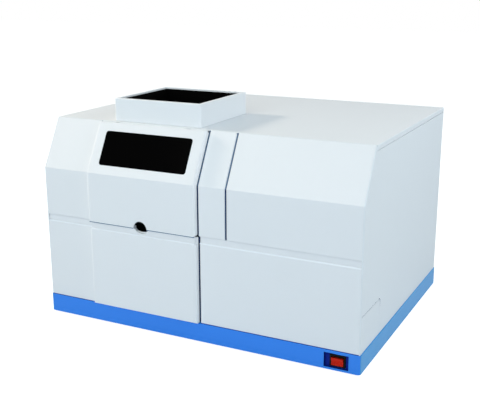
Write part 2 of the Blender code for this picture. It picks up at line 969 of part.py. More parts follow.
def hinge_places():
    half = door_width / 2 - hinge_inset
    return (bay_centre - half, bay_centre + half)


def make_flame_door():
    x0, x1 = bay_centre - door_width / 2, bay_centre + door_width / 2
    body = slab("flame_door", [door_outline(0.0)], x0, x1, "YZ")
    outer_face = front - door_proud

    def share(one, two):
        at_foot = both(one, two, 2, groove_high)
        if at_foot and along(one, two, 1):
            return 1.0
        if at_foot and both(one, two, 1, outer_face):
            return door_foot_share
        if not (both(one, two, 0, x0) or both(one, two, 0, x1)):
            return 0.0
        if both(one, two, 1, outer_face):
            return 1.0
        level = break_z(-door_proud)
        on_slope = min(one[2], two[2]) > level - fit and max(one[1], two[1]) < bend - barrel_back - fit
        return 1.0 if on_slope and abs(one[2] - two[2]) > fit else 0.0

    round_edges(body, door_edge, share, 3)
    inside = slab("door_hollow", [door_outline(door_wall)], x0 + door_wall, x1 - door_wall, "YZ")
    cut(body, inside)
    axis_y, axis_z = door_axis()
    for i, x in enumerate(hinge_places()):
        start = (x - barrel_length / 2, axis_y, axis_z)
        fuse(body, rod("door_barrel_" + str(i), barrel_radius - fit, start, barrel_length, "X", 20))
    for i, x in enumerate(hinge_places()):
        half = knuckle_width / 2 + knuckle_gap
        reach = knuckle_radius + knuckle_gap
        rear = rod("door_notch_round_" + str(i), reach, (x - half, axis_y, axis_z), 2 * half, "X", 20)
        square = box("door_notch_" + str(i), (x - half, axis_y - reach / 2, axis_z - reach),
                     (x + half, axis_y + barrel_radius + overrun, case_top + overrun))
        bore_half = half + pin_reach + fit
        bore = rod("door_bore_" + str(i), pin_radius + running_gap, (x - bore_half, axis_y, axis_z),
                   2 * bore_half, "X", 16)
        cut(body, rear, square, bore)
    cut_window(body)
    notch = rod("finger_notch", notch_radius, (bay_centre, outer_face - overrun, groove_high),
                door_proud + 2 * overrun, "Y", 32)
    cut(body, notch)
    keep(body, white_paint)
    pane = window_slab("door_window", 0.0, -fit, pane_thickness - fit)
    keep(pane, black_acrylic)
    hub = pivot("flame_door_pivot", (bay_centre, axis_y, axis_z))
    ride(hub, body)
    hang(hub, pane)


def hang(parent, piece):
    """Parents a turned piece to an unturned empty and leaves it in place."""
    bpy.context.view_layer.update()
    piece.parent = parent
    piece.matrix_parent_inverse = Matrix.Translation(-Vector(parent.location))


def window_slab(name, grow, skin, depth):
    """A slab in the door's slope, grown on all sides, from its skin to a depth below the outer face."""
    half = window_width / 2 + grow
    outline = round_box_outline((-half, window_bottom - grow), (half, window_top + grow),
                                max(window_corner + grow, fit))
    piece = slab(name, [outline], -depth, -skin, "XY")
    tilt = math.atan2(slope_drop, slope_run)
    foot_y, foot_z = front - door_proud, break_z(-door_proud)
    piece.matrix_world = (Matrix.Translation((bay_centre, foot_y, foot_z)) @ Matrix.Rotation(tilt, 4, "X")
                          @ piece.matrix_world)
    return piece


def cut_window(body):
    seat = window_slab("window_seat", fit, -overrun, pane_thickness)
    light = window_slab("window_light", -window_lip, -overrun, door_wall + overrun)
    cut(body, seat, light)


def make_upper_hinge_rail():
    axis_y, axis_z = door_axis()
    rail_front = axis_y + barrel_radius + seam
    base = case_top - cover_wall - fit
    half = bay_half() - bay_wall - fit
    body = box("upper_hinge_rail", (bay_centre - half, rail_front, base - rail_height),
               (bay_centre + half, rail_front + rail_depth, base))
    for x in hinge_places():
        add_knuckle(body, x, axis_y, axis_z, rail_front + rail_depth / 2, pin_reach)
    keep(body, steel)


def add_knuckle(rail, x, axis_y, axis_z, arm_end, reach):
    """A rail's arm with its ring and its pin, which reaches into the door on both sides."""
    arm_half = knuckle_width / 2
    arm = box(rail.name + "_arm", (x - arm_half, axis_y, axis_z - hinge_arm / 2),
              (x + arm_half, arm_end, axis_z + hinge_arm / 2))
    ring = rod(rail.name + "_ring", knuckle_radius, (x - arm_half, axis_y, axis_z), knuckle_width,
               "X", 20)
    pin_half = arm_half + knuckle_gap + reach
    pin = rod(rail.name + "_pin", pin_radius, (x - pin_half, axis_y, axis_z), 2 * pin_half, "X", 16)
    fuse(rail, arm, ring, pin)


# Lower door
def lower_axis():
    return front - lower_axis_in, plinth_top + lower_foot + lower_axis_in


def lower_span():
    centre = bay_centre + lower_shift
    return centre - lower_width / 2, centre + lower_width / 2


def lower_hinge_places():
    x0, x1 = lower_span()
    return (x0 + hinge_inset, x1 - hinge_inset)


def make_lower_door():
    x0, x1 = lower_span()
    outer_face = front - door_proud
    recess = outer_face + ledge_depth
    z0, z1 = plinth_top + lower_foot, groove_high - lower_head
    ledge = plinth_top + ledge_rise
    outline = [(outer_face, z0), (outer_face, ledge), (recess, ledge), (recess, z1), (front, z1),
               (front, z0)]
    body = slab("lower_door", [outline], x0, x1, "YZ")

    def share(one, two):
        foot_share, lip_share = lower_round_shares
        if both(one, two, 1, outer_face):
            if both(one, two, 2, z0):
                return foot_share
            return lip_share if both(one, two, 2, ledge) else 1.0
        if both(one, two, 1, recess):
            return 0.0 if both(one, two, 2, ledge) else lip_share
        return 0.0

    round_edges(body, lower_round, share, 3)
    wall = door_wall
    cut(body, box("lower_hollow", (x0 + wall, outer_face + wall, z0 + wall),
                  (x1 - wall, front + overrun, ledge - wall)))
    axis_y, axis_z = lower_axis()
    half_out = knuckle_width / 2 + knuckle_gap
    lug_half = half_out + pin_reach
    for i, x in enumerate(lower_hinge_places()):
        fuse(body, box("lower_lug_" + str(i), (x - lug_half, outer_face + wall / 2, z0 + wall / 2),
                       (x + lug_half, front - seam, axis_z + lower_axis_in)))
    for i, x in enumerate(lower_hinge_places()):
        reach = knuckle_radius + knuckle_gap
        rear = rod("lower_notch_round_" + str(i), reach, (x - half_out, axis_y, axis_z), 2 * half_out,
                   "X", 20)
        square = box("lower_notch_" + str(i), (x - half_out, axis_y - reach / 2, z0 - overrun),
                     (x + half_out, front + overrun, axis_z + reach))
        bore_half = lug_half - fit
        bore = rod("lower_bore_" + str(i), pin_radius + running_gap, (x - bore_half, axis_y, axis_z),
                   2 * bore_half, "X", 16)
        cut(body, rear, square, bore)
    scoop = rod("lower_scoop", notch_radius, (bay_centre, outer_face - overrun, groove_high),
                door_proud + 2 * overrun, "Y", 32)
    for vert in scoop.data.vertices:
        vert.co.y *= scoop_height / notch_radius
    keep(cut(body, scoop), white_paint)
    ride(pivot("lower_door_pivot", (bay_centre, axis_y, axis_z)), body)


def make_lower_hinge_rail():
    axis_y, axis_z = lower_axis()
    floor = bay_floor() + fit
    rail_front = front + bay_front + fit
    x0, x1 = lower_hinge_places()
    body = box("lower_hinge_rail", (x0 - hinge_inset / 2, rail_front, floor),
               (x1 + hinge_inset / 2, rail_front + rail_depth, floor + rail_height))
    for x in (x0, x1):
        add_knuckle(body, x, axis_y, axis_z, rail_front + rail_depth / 2, pin_reach - 2 * fit)
    keep(body, steel)


# Flame compartment
def bay_half():
    return min(left_hood_edge, left_lower_edge, middle_hood_edge, right_lower_edge) - seam


def bay_floor():
    return case_low + bay_wall


def bay_rear():
    """The inner face of the compartment's back wall."""
    return front + bay_back - bay_wall


def make_flame_box():
    half = bay_half()
    top = case_top - cover_wall - fit
    rail_clear = door_axis()[0] + barrel_radius + seam + rail_depth + fit
    outer = front_points(bay_front, case_low, top - rail_height - fit)
    outer += [(rail_clear, top - rail_height - fit), (rail_clear, top), (front + bay_back, top),
              (front + bay_back, case_low)]
    body = slab("flame_box", [outer], bay_centre - half, bay_centre + half, "YZ")
    inside = box("flame_box_inside", (bay_centre - half + bay_wall, front - overrun, bay_floor()),
                 (bay_centre + half - bay_wall, bay_rear(), top + overrun))
    cut(body, inside)
    for sign in (-1, 1):
        x = bay_centre + sign * half
        start = (x - overrun, chimney_mid_y, beam_level)
        cut(body, rod("beam_hole_" + str(sign + 1), tube_radius + fit, start, 2 * overrun, "X"))
    keep(body, black_steel)


def make_lens_tubes():
    half = bay_half()
    for name, sign in (("lamp_lens_tube", -1), ("slit_lens_tube", 1)):
        wall_x = bay_centre + sign * half
        start, end = wall_x - tube_reach, wall_x + tube_reach
        if sign < 0:
            start = wall_x - lamp_tube_reach
        else:
            end = bench_left() - fit
        body = rod(name, tube_radius, (start, chimney_mid_y, beam_level), end - start, "X")
        middle = (start + end) / 2
        lens = tube_wall
        bore = tube_radius - tube_wall
        left = rod(name + "_bore_a", bore, (start - overrun, chimney_mid_y, beam_level),
                   middle - lens - start + overrun, "X")
        right = rod(name + "_bore_b", bore, (middle + lens, chimney_mid_y, beam_level),
                    end - middle - lens + overrun, "X")
        keep(cut(body, left, right), lens_black)


# Burner and its lift
def chamber_level():
    return plinth_top + chamber_rise


def burner_base():
    """The level of the burner head's underside."""
    return beam_level - burner_drop - burner_height - collar_height


def make_burner():
    x, y = bay_centre, chimney_mid_y
    top = beam_level - burner_drop
    low = burner_base()
    head = box("burner_head", (x - burner_length / 2, y - burner_width / 2, low + collar_height),
               (x + burner_length / 2, y + burner_width / 2, top))
    taper_top(head, burner_top_width / burner_width)
    fuse(head, rod("burner_collar", collar_radius, (x, y, low), collar_height + overrun))
    cut(head, box("burner_slot", (x - slot_length / 2, y - slot_width / 2, top - slot_depth),
                  (x + slot_length / 2, y + slot_width / 2, top + overrun)))
    cut(head, rod("burner_socket", neck_radius + running_gap, (x, y, low - overrun),
                  collar_socket + overrun))
    keep(head, titanium)
    hub = pivot("burner_pivot", (x, y, low))
    ride(hub, head)


def taper_top(obj, share):
    """Narrows the top face of a box along Y."""
    for vert in obj.data.vertices:
        if vert.co.z > 0:
            vert.co.y *= share


def make_spray_chamber():
    x, level = bay_centre, chamber_level()
    y0, y1 = chimney_mid_y - chamber_front, chimney_mid_y + chamber_rear
    body = rod("spray_chamber", chamber_radius, (x, y0, level), y1 - y0, "Y")
    cap = rod("chamber_cap", chamber_cap_radius, (x, y0, level), chamber_cap, "Y")
    neck_top = burner_base() + collar_socket - fit
    neck = rod("chamber_neck", neck_radius, (x, chimney_mid_y, level), neck_top - level)
    fuse(body, cap, neck)
    bore = rod("neck_bore", neck_radius - neck_wall, (x, chimney_mid_y, level + chamber_radius),
               neck_top - level - chamber_radius + overrun)
    seat = rod("neck_seat", collar_radius, (x, chimney_mid_y, burner_base() - fit - neck_wall), neck_wall)
    fuse(body, seat)
    cut(body, bore)
    keep(body, grey_plastic)
    make_nebulizer(x, y0 - fit, level)
    make_trap()


def make_nebulizer(x, y, level):
    """The nebulizer points forward from the spray chamber's cap."""
    radius, length = nebulizer_radius, nebulizer_length
    spray = [(0, length), (radius / 2, length), (radius / 2, nebulizer_step), (radius, nebulizer_step),
             (radius, 0), (0, 0)]
    body = turned("nebulizer", spray, (x, y, level), "-Y", 20)
    tip = rod("sample_nipple", nipple_radius, (x, y - length - nipple_length, level),
              nipple_length + overrun, "Y", 12)
    side = rod("gas_nipple", nipple_radius * 2, (x, y - length / 2, level - radius - nipple_length),
               nipple_length + radius, "Z", 12)
    keep(fuse(body, tip, side), steel)


def make_trap():
    x, y = bay_centre, chimney_mid_y - trap_back
    head = chamber_level() - chamber_radius - fit
    low = chamber_level() - chamber_radius - trap_height - trap_neck_length
    neck, radius, top = trap_neck, trap_radius, low + trap_height
    profile = [(0, head), (neck, head), (neck, top), (radius - neck / 2, top), (radius, top - neck / 2),
               (radius, low + neck / 2), (radius - neck / 2, low), (0, low)]
    keep(turned("drain_trap", profile, (x, y, 0), "Z", 24), grey_plastic)


def carriage_levels():
    mid = chamber_level()
    return mid - carriage_height / 2, mid + carriage_height / 2


def screw_place():
    return bay_centre + screw_out, bay_rear() - screw_front


def make_lift():
    x, rear = bay_centre, bay_rear() - fit
    floor = bay_floor() + fit
    head = floor + post_height
    half = post_width / 2
    post = box("burner_post", (x - half, rear - post_depth, floor), (x + half, rear, head))
    sx, sy = screw_place()
    reach = screw_radius + ear_wall
    for i, level in enumerate((floor, head - ear_thickness)):
        ear = box("post_ear_" + str(i), (x, sy - reach, level), (sx + reach, rear, level + ear_thickness))
        fuse(post, ear)
    cut(post, rod("post_screw_bore", screw_radius + running_gap, (sx, sy, floor + ear_floor),
                  post_height + overrun, sides=20))
    keep(post, steel)
    low, high = carriage_levels()
    gap = running_gap
    front_face = rear - post_depth - gap - carriage_depth
    wall = carriage_wall
    inner = half + gap
    outer = inner + wall
    block = box("burner_carriage", (x - outer, front_face, low),
                (x + outer, rear - carriage_back_gap, high))
    slot = box("carriage_slot", (x - inner, rear - post_depth - gap, low - overrun),
               (x + inner, rear + overrun, high + overrun))
    arm = box("carriage_ear", (x + inner, sy - reach, low + wall), (sx + reach, sy + reach, high - wall))
    chamber_end = chimney_mid_y + chamber_rear + fit
    boss = rod("carriage_boss", boss_radius, (x, chamber_end, chamber_level()),
               front_face - chamber_end + overrun, "Y")
    fuse(block, arm, boss)
    cut(block, slot, rod("carriage_bore", screw_radius + running_gap, (sx, sy, low - overrun),
                         carriage_height + 2 * overrun, sides=20))
    keep(block, aluminium)
    wheel_low = floor + screw_wheel_rise
    screw_low = floor + ear_floor + fit
    screw = rod("height_screw", screw_radius, (sx, sy, screw_low), head - screw_low, sides=20)
    wheel = rod("screw_wheel", screw_wheel_radius, (sx, sy, wheel_low), screw_wheel_height, sides=28)
    keep(fuse(screw, wheel), brass)
    screw_hub = pivot("height_screw_pivot", (sx, sy, floor))
    ride(screw_hub, screw)


def make_igniter():
    rear = bay_rear() - fit
    x, z = bay_centre - igniter_side, beam_level + igniter_rise
    body = rod("igniter", igniter_radius, (x, rear - igniter_length, z), igniter_length, "Y", 20)
    tip_y = chimney_mid_y + igniter_reach
    stem = rod("igniter_stem", igniter_rod, (x, tip_y, z), rear - igniter_length - tip_y + overrun, "Y", 12)
    finger = rod("igniter_tip", igniter_rod, (x - igniter_rod, tip_y + igniter_rod, z),
                 igniter_side / 2, "X", 12)
    keep(fuse(body, stem, finger), steel)


# Lamp turret
def turret_disc_radius():
    """The largest disc that fits between the side panel and the flame box."""
    space = bay_centre - bay_half() + case_half - side_wall
    return (space - turret_side_gap - turret_wall_gap) / 2


def lamp_radius():
    return (turret_disc_radius() - turret_rim) * lamp_share


def turret_circle():
    return turret_disc_radius() - turret_rim - lamp_radius()


def turret_place():
    x = bay_centre - bay_half() - turret_wall_gap - turret_disc_radius()
    return x, chimney_mid_y


def lamp_window_x():
    return turret_place()[0] + turret_circle()


def make_turret():
    x, y = turret_place()
    disc_radius, circle, glass_radius = turret_disc_radius(), turret_circle(), lamp_radius()
    base_radius = glass_radius - lamp_base_step
    motor_top = case_low + fit + motor_height
    half = motor_width / 2
    motor = box("turret_motor", (x - half, y - half, case_low), (x + half, y + half, motor_top))
    round_edges(motor, motor_edge, lambda a, b: 1.0 if along(a, b, 2) else 0.0)
    disc_low = case_low + turret_rise
    shaft = rod("motor_shaft", motor_shaft, (x, y, motor_top - overrun),
                disc_low + turret_disc / 2 - motor_top + overrun, sides=16)
    keep(fuse(motor, shaft), black_steel)
    top_low = disc_low + turret_disc + lamp_length - turret_top_gap
    profile = [(0, top_low + turret_disc), (disc_radius, top_low + turret_disc), (disc_radius, top_low),
               (turret_column, top_low), (turret_column, disc_low + turret_disc),
               (disc_radius, disc_low + turret_disc), (disc_radius, disc_low), (0, disc_low)]
    turret = turned("lamp_turret", profile, (x, y, 0), "Z", 32)
    cut(turret, rod("turret_bore", motor_shaft + running_gap, (x, y, disc_low - overrun),
                    turret_disc / 2 + overrun + fit * 2, sides=16))
    hub = pivot("turret_pivot", (x, y, disc_low))
    lamp_low = disc_low + turret_disc + fit
    for i in range(4):
        angle = math.radians(90 * i)
        lx, ly = x + circle * math.cos(angle), y + circle * math.sin(angle)
        cut(turret, rod("lamp_hole_" + str(i), glass_radius + fit, (lx, ly, top_low - overrun),
                        turret_disc + 2 * overrun))
        base, edge = lamp_base_height, lamp_edge
        outline = [(0, lamp_length), (glass_radius - edge, lamp_length), (glass_radius, lamp_length - edge),
                   (glass_radius, base + lamp_neck), (base_radius, base), (base_radius, 0), (0, 0)]
        lamp = turned("lamp_" + str(i + 1), outline, (lx, ly, lamp_low), "Z", 24)
        keep(lamp, lamp_glass)
        ride(hub, lamp)
    keep(turret, aluminium)
    ride(hub, turret)


def make_lamp_mirror():
    wall_x = bay_centre - bay_half() - fit
    x, z = lamp_window_x(), beam_level
    half = mirror_width / 2
    low = (x - half / math.sqrt(2), z - half / math.sqrt(2))
    high = (x + half / math.sqrt(2), z + half / math.sqrt(2))
    back_step = mirror_thickness * math.sqrt(2)
    arm_low = beam_level + tube_radius + mirror_arm / 2
    arm_high = arm_low + mirror_arm
    foot_high = arm_low + mirror_foot
    back_x = low[0] - back_step
    outline = [low, high, (high[0], arm_low), (wall_x, arm_low), (wall_x, foot_high),
               (wall_x - mirror_arm, foot_high), (wall_x - mirror_arm, arm_high), (low[0], arm_high),
               (back_x, low[1] + back_step), (back_x, low[1])]
    body = slab("lamp_mirror", [outline], chimney_mid_y - half, chimney_mid_y + half, "XZ")
    keep(body, mirror_glass)


# Monochromator
def bench_left():
    return bay_centre + bay_half() + bench_gap


def bench_right():
    return case_half - side_wall - bench_end_gap


def bench_top():
    return case_low + bench_height


def mono_floor():
    return bench_top() + fit


def mono_span():
    """The monochromator case's corners in plan."""
    x0 = bench_left()
    mid = chimney_mid_y + slit_offset
    return (x0, mid - mono_width / 2), (bench_right() - mono_end_gap, mid + mono_width / 2)


def make_bench():
    x0 = bench_left()
    x1 = bench_right()
    mid = table_place()[1]
    y0, y1 = mid - bench_width / 2, mid + bench_width / 2
    z0, z1 = case_low, bench_top()
    wall, flange = bench_wall, bench_flange
    outline = [(x0, z0), (x0, z1), (x1, z1), (x1, z0), (x1 - flange, z0), (x1 - flange, z0 + wall),
               (x1 - wall, z0 + wall), (x1 - wall, z1 - wall), (x0 + wall, z1 - wall),
               (x0 + wall, z0 + wall), (x0 + flange, z0 + wall), (x0 + flange, z0)]
    body = slab("optical_bench", [outline], y0, y1, "XZ")
    tx, ty = table_place()
    cut(body, rod("bench_shaft_hole", table_shaft + running_gap * 2, (tx, ty, z1 - wall - overrun),
                  wall + 2 * overrun, sides=20))
    keep(body, aluminium)


def table_place():
    (x0, y0), (_, y1) = mono_span()
    return x0 + table_back, (y0 + y1) / 2


def make_monochromator():
    (x0, y0), (x1, y1) = mono_span()
    z0 = mono_floor()
    z1 = z0 + mono_height
    wall = mono_wall
    case = box("monochromator_case", (x0, y0, z0), (x1, y1, z1))
    round_edges(case, wall / 2, lambda a, b: 1.0 if along(a, b, 2) else 0.0)
    cut(case, box("mono_inside", (x0 + wall, y0 + wall, z0 + wall), (x1 - wall, y1 - wall, z1 + overrun)))
    tx, ty = table_place()
    for i, y in enumerate((chimney_mid_y, chimney_mid_y + 2 * slit_offset)):
        cut(case, rod("slit_hole_" + str(i), slit_radius, (x0 - overrun, y, beam_level),
                      wall + 2 * overrun, "X", 20))
    cut(case, rod("table_hole", table_shaft + running_gap, (tx, ty, z0 - overrun), wall + 2 * overrun,
                  sides=20))
    keep(case, aluminium)
    lid = box("monochromator_lid", (x0, y0, z1 + fit), (x1, y1, z1 + fit + mono_lid))
    keep(round_edges(lid, wall / 2, lambda a, b: 1.0 if along(a, b, 2) else 0.0), aluminium)
    floor = z0 + wall + fit
    make_ebert_mirror(x1 - wall - mirror_back, floor)
    make_grating(floor)
    make_detector(x0 - fit)


def make_ebert_mirror(rear_x, floor):
    """A mirror block with a hollow face towards the grating."""
    ty = table_place()[1]
    half = mirror_long / 2
    block = box("ebert_mirror", (rear_x - mirror_block, ty - half, floor),
                (rear_x, ty + half, floor + mirror_tall))
    bow = (half ** 2 + mirror_sag ** 2) / (2 * mirror_sag)
    face = rod("mirror_bow", bow, (rear_x - mirror_block + mirror_sag - bow, ty, floor - overrun),
               mirror_tall + 2 * overrun, sides=96)
    keep(cut(block, face), mirror_glass)


def make_grating(floor):
    """The grating on its turntable, and the motor under the bench that turns it."""
    tx, ty = table_place()
    table_low = floor + fit
    table = rod("grating_turntable", table_radius, (tx, ty, table_low), table_height, sides=28)
    shaft_low = bench_top() - bench_wall - fit
    fuse(table, rod("table_spindle", table_shaft, (tx, ty, shaft_low),
                    table_low - shaft_low + table_height / 2, sides=20))
    keep(table, steel)
    half_x, half_y = grating_thickness / 2, grating_width / 2
    grating_low = table_low + table_height + fit
    grating = box("grating", (tx - half_x, ty - half_y, grating_low),
                  (tx + half_x, ty + half_y, grating_low + grating_tall))
    keep(grating, mirror_glass)
    ride(pivot("grating_pivot", (tx, ty, floor)), table, grating)
    half = drive_width / 2
    top = bench_top() - bench_wall - 2 * fit
    drive = box("grating_motor", (tx - half, ty - half, top - drive_height), (tx + half, ty + half, top))
    round_edges(drive, motor_edge, lambda a, b: 1.0 if along(a, b, 2) else 0.0)
    keep(drive, black_steel)


def make_detector(end):
    """The detector's housing on the exit slit."""
    y = chimney_mid_y + 2 * slit_offset
    depth = detector_flange_depth
    tube = rod("detector_housing", detector_radius, (end - detector_length, y, beam_level),
               detector_length, "X")
    flange = rod("detector_flange", detector_flange, (end - depth, y, beam_level), depth, "X")
    keep(fuse(tube, flange), black_plastic)


# Electronics and gas control
def electronics_span():
    """The board's left end, its right end and the power supply's two ends, all under the bench."""
    left = bench_left() + bench_flange + bench_gap
    right = bench_right() - bench_wall - supply_wall_gap - bench_flange
    middle = left + (right - left) * board_share
    return left, middle, middle + board_gap, right


def make_power_supply():
    y0 = mono_span()[0][1]
    left, right = electronics_span()[2:]
    top = case_low + supply_height
    supply = box("power_supply", (left, y0, case_low), (right, y0 + supply_depth, top))
    margin = (right - left) * supply_vent_margin_share
    for i in range(supply_vents):
        edge = y0 + supply_depth * (i + 1) / (supply_vents + 1)
        cut(supply, box("supply_vent_" + str(i), (left + margin, edge - supply_vent, top - supply_vent),
                        (right - margin, edge, top + overrun)))
    keep(supply, aluminium)


def make_control_board():
    left, right = electronics_span()[:2]
    y0 = mono_span()[0][1]
    low = case_low + standoff_height
    y1, mid = y0 + board_depth, low + board_thickness / 2
    board = box("control_board", (left, y0, low), (right, y1, low + board_thickness))
    for i in range(4):
        px = left + standoff_inset if i % 2 else right - standoff_inset
        py = y0 + standoff_inset if i < 2 else y1 - standoff_inset
        fuse(board, rod("standoff_" + str(i), standoff_radius, (px, py, case_low), mid - case_low,
                        sides=12))
    chip_left = left + (right - left) / 3
    chip_top = low + board_thickness + chip_height
    for i in range(3):
        cy = y0 + board_depth * (i + 1) / 4
        fuse(board, box("chip_" + str(i), (chip_left, cy - chip_width / 2, mid),
                        (chip_left + chip_width * 2, cy + chip_width / 2, chip_top)))
    keep(board, board_green)


def make_gas_block():
    rear = back - rear_wall - fit
    mid = (port_place(0)[0] + port_place(1)[0]) / 2
    half = gas_block_width / 2
    top = case_low + gas_block_height
    block = box("gas_block", (mid - half, rear - gas_block_depth, case_low), (mid + half, rear, top))
    for i in range(2):
        x, z = port_place(i)
        valve_foot = (x, rear - gas_block_depth / 2, top - overrun)
        fuse(block, rod("gas_valve_" + str(i), gas_valve_radius, valve_foot, gas_valve_height + overrun,
                        sides=20))
        cut(block, rod("gas_port_bore_" + str(i), port_radius + fit, (x, rear - port_seat, z),
                       port_seat + overrun, "Y"))
    keep(block, aluminium)


# Rear fittings
def port_place(index):
    """The two gas inlets, side by side."""
    return -port_side + index * port_spacing, plinth_top + port_rise


def inlet_corners(width, height):
    x, z = inlet_side, plinth_top + inlet_rise
    return (x - width / 2, z - height / 2), (x + width / 2, z + height / 2)


def data_corners(grow):
    x, z = data_side, plinth_top + data_rise
    half_x, half_z = data_width / 2 + grow, data_height / 2 + grow
    return (x - half_x, z - half_z), (x + half_x, z + half_z)


def make_gas_inlets():
    for i, name in enumerate(("acetylene_inlet", "air_inlet")):
        x, z = port_place(i)
        inner = back - rear_wall - port_seat
        body = rod(name, port_radius, (x, inner, z), back + port_reach - inner, "Y")
        nut = rod(name + "_nut", port_hex, (x, back + fit, z), port_hex_height, "Y", 6)
        bore = rod(name + "_bore", port_bore, (x, back, z), port_reach + overrun, "Y", 12)
        keep(cut(fuse(body, nut), bore), brass)


def make_power_inlet():
    """A standard mains inlet with three pins."""
    face = back + fit + inlet_flange
    low, high = inlet_corners(inlet_width, inlet_height)
    plate = box("power_inlet", (low[0], back + fit, low[1]), (high[0], face, high[1]))
    round_edges(plate, inlet_flange * 2, lambda a, b: 1.0 if along(a, b, 1) else 0.0)
    low, high = inlet_corners(inlet_body_width, inlet_body_height)
    fuse(plate, box("inlet_shank", (low[0], back - inlet_depth, low[1]),
                    (high[0], back + fit + inlet_flange / 2, high[1])))
    low, high = inlet_corners(inlet_socket_width, inlet_socket_height)
    floor = face - inlet_socket_depth
    cut(plate, box("inlet_socket", (low[0], floor, low[1]), (high[0], face + overrun, high[1])))
    x, z = inlet_side, plinth_top + inlet_rise
    half_x, half_z = inlet_pin_thickness / 2, inlet_pin / 2
    for i, (across, up) in enumerate(inlet_pin_shares):
        px, pz = x + across * inlet_pin_spacing, z + up * inlet_pin
        fuse(plate, box("inlet_pin_" + str(i), (px - half_x, floor - overrun / 2, pz - half_z),
                        (px + half_x, face - inlet_pin, pz + half_z)))
    keep(plate, black_plastic)


def make_data_port():
    face = back + fit + data_flange
    low, high = data_corners(0.0)
    socket = box("data_port", (low[0], back - data_depth, low[1]), (high[0], face, high[1]))
    rim = data_flange * 2
    low, high = data_corners(rim)
    fuse(socket, box("data_flange", (low[0], back + fit, low[1]), (high[0], face, high[1])))
    low, high = data_corners(-rim)
    cut(socket, box("data_socket", (low[0], face - data_socket_depth, low[1]),
                    (high[0], face + overrun, high[1])))
    keep(socket, steel)


def make_fan():
    x, z = fan_side, plinth_top + fan_rise
    rear = back - rear_wall - fit
    half = fan_size / 2
    frame = box("fan_frame", (x - half, rear - fan_depth, z - half), (x + half, rear, z + half))
    round_edges(frame, fan_corner, lambda a, b: 1.0 if along(a, b, 1) else 0.0)
    cut(frame, rod("fan_bore", fan_bore, (x, rear - fan_depth - overrun, z), fan_depth + 2 * overrun,
                   "Y", 32))
    motor_face = rear - fan_depth
    reach = fan_bore + fan_spider / 2
    for i in range(2):
        long_x, long_z = (reach, fan_arm / 2) if i == 0 else (fan_arm / 2, reach)
        fuse(frame, box("fan_arm_" + str(i), (x - long_x, motor_face, z - long_z),
                        (x + long_x, motor_face + fan_spider, z + long_z)))
    fuse(frame, rod("fan_motor", fan_hub, (x, motor_face, z), fan_spider * 2, "Y"))
    axle_end = rear - fan_spider * 2
    axle_start = motor_face + fan_spider
    fuse(frame, rod("fan_axle", fan_axle, (x, axle_start, z), axle_end - axle_start, "Y", 12))
    keep(frame, black_plastic)
    hub_start = motor_face + fan_spider * 2 + fan_spider / 2
    hub_end = rear - fan_spider
    rotor = rod("fan_rotor", fan_hub, (x, hub_start, z), hub_end - hub_start, "Y")
    blade_end = fan_bore - fan_tip_gap
    half_chord, half_thick = fan_blade_chord / 2, fan_blade_thickness / 2
    pitch = Matrix.Rotation(math.radians(fan_pitch), 4, "X")
    centre = Matrix.Translation((x, (hub_start + hub_end) / 2, z))
    for i in range(fan_blades):
        blade = box("fan_blade_" + str(i), (fan_hub - fan_spider, -half_chord, -half_thick),
                    (blade_end, half_chord, half_thick))
        turn = Matrix.Rotation(2 * math.pi * i / fan_blades, 4, "Y")
        blade.matrix_world = centre @ turn @ pitch @ Matrix.Translation(blade.location)
        fuse(rotor, blade)
    cut(rotor, rod("rotor_bore", fan_axle + running_gap, (x, hub_start - overrun, z),
                   axle_end - hub_start + overrun + fit * 2, "Y", 12))
    keep(rotor, black_plastic)
    ride(pivot("fan_pivot", (x, hub_start, z)), rotor)


make_plinth()
make_switch()
make_top_cover()
make_side_panel("left_side_panel", -1)
make_side_panel("right_side_panel", 1)
make_hatch()
make_rear_panel()
make_front_panels()
make_chimney()
make_flame_door()
make_upper_hinge_rail()
make_lower_door()
make_lower_hinge_rail()
make_flame_box()
make_lens_tubes()
make_burner()
make_spray_chamber()
make_lift()
make_igniter()
make_turret()
make_lamp_mirror()
make_bench()
make_monochromator()
make_power_supply()
make_control_board()
make_gas_block()
make_gas_inlets()
make_power_inlet()
make_data_port()
make_fan()
bpy.context.view_layer.update()
print("pieces made:", len(scene_parts))
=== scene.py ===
import json
import math

import bmesh
import bpy
from mathutils import Matrix, Vector


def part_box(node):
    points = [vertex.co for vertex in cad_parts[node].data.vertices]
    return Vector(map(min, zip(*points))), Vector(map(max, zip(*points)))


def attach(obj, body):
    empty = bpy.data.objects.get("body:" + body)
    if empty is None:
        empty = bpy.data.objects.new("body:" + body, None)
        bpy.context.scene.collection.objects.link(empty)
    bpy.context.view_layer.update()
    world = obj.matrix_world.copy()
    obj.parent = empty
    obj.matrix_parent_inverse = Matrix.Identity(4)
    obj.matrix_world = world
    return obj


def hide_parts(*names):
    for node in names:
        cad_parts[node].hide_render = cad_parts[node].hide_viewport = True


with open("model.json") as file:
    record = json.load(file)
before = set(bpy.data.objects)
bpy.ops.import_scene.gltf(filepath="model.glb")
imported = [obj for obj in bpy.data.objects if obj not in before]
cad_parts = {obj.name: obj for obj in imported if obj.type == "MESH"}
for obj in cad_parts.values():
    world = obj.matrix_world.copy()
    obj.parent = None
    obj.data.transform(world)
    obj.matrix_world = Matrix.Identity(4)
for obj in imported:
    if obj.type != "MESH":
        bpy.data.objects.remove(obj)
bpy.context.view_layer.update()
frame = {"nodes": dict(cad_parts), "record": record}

nodes = frame["nodes"]
print("frame loaded:", len(nodes), "nodes")


def newObject(name, data):
    obj = bpy.data.objects.new(name, data)
    bpy.context.scene.collection.objects.link(obj)
    return obj


# Camera at the photograph's place, found from the case's own edges
cameraView = dict(place=(0.7777, -1.5939, 0.7044), pitch=-0.268, roll=-0.002, yaw=0.468,
    lens=62.65, sensor=36.0, clip=(0.05, 50.0))


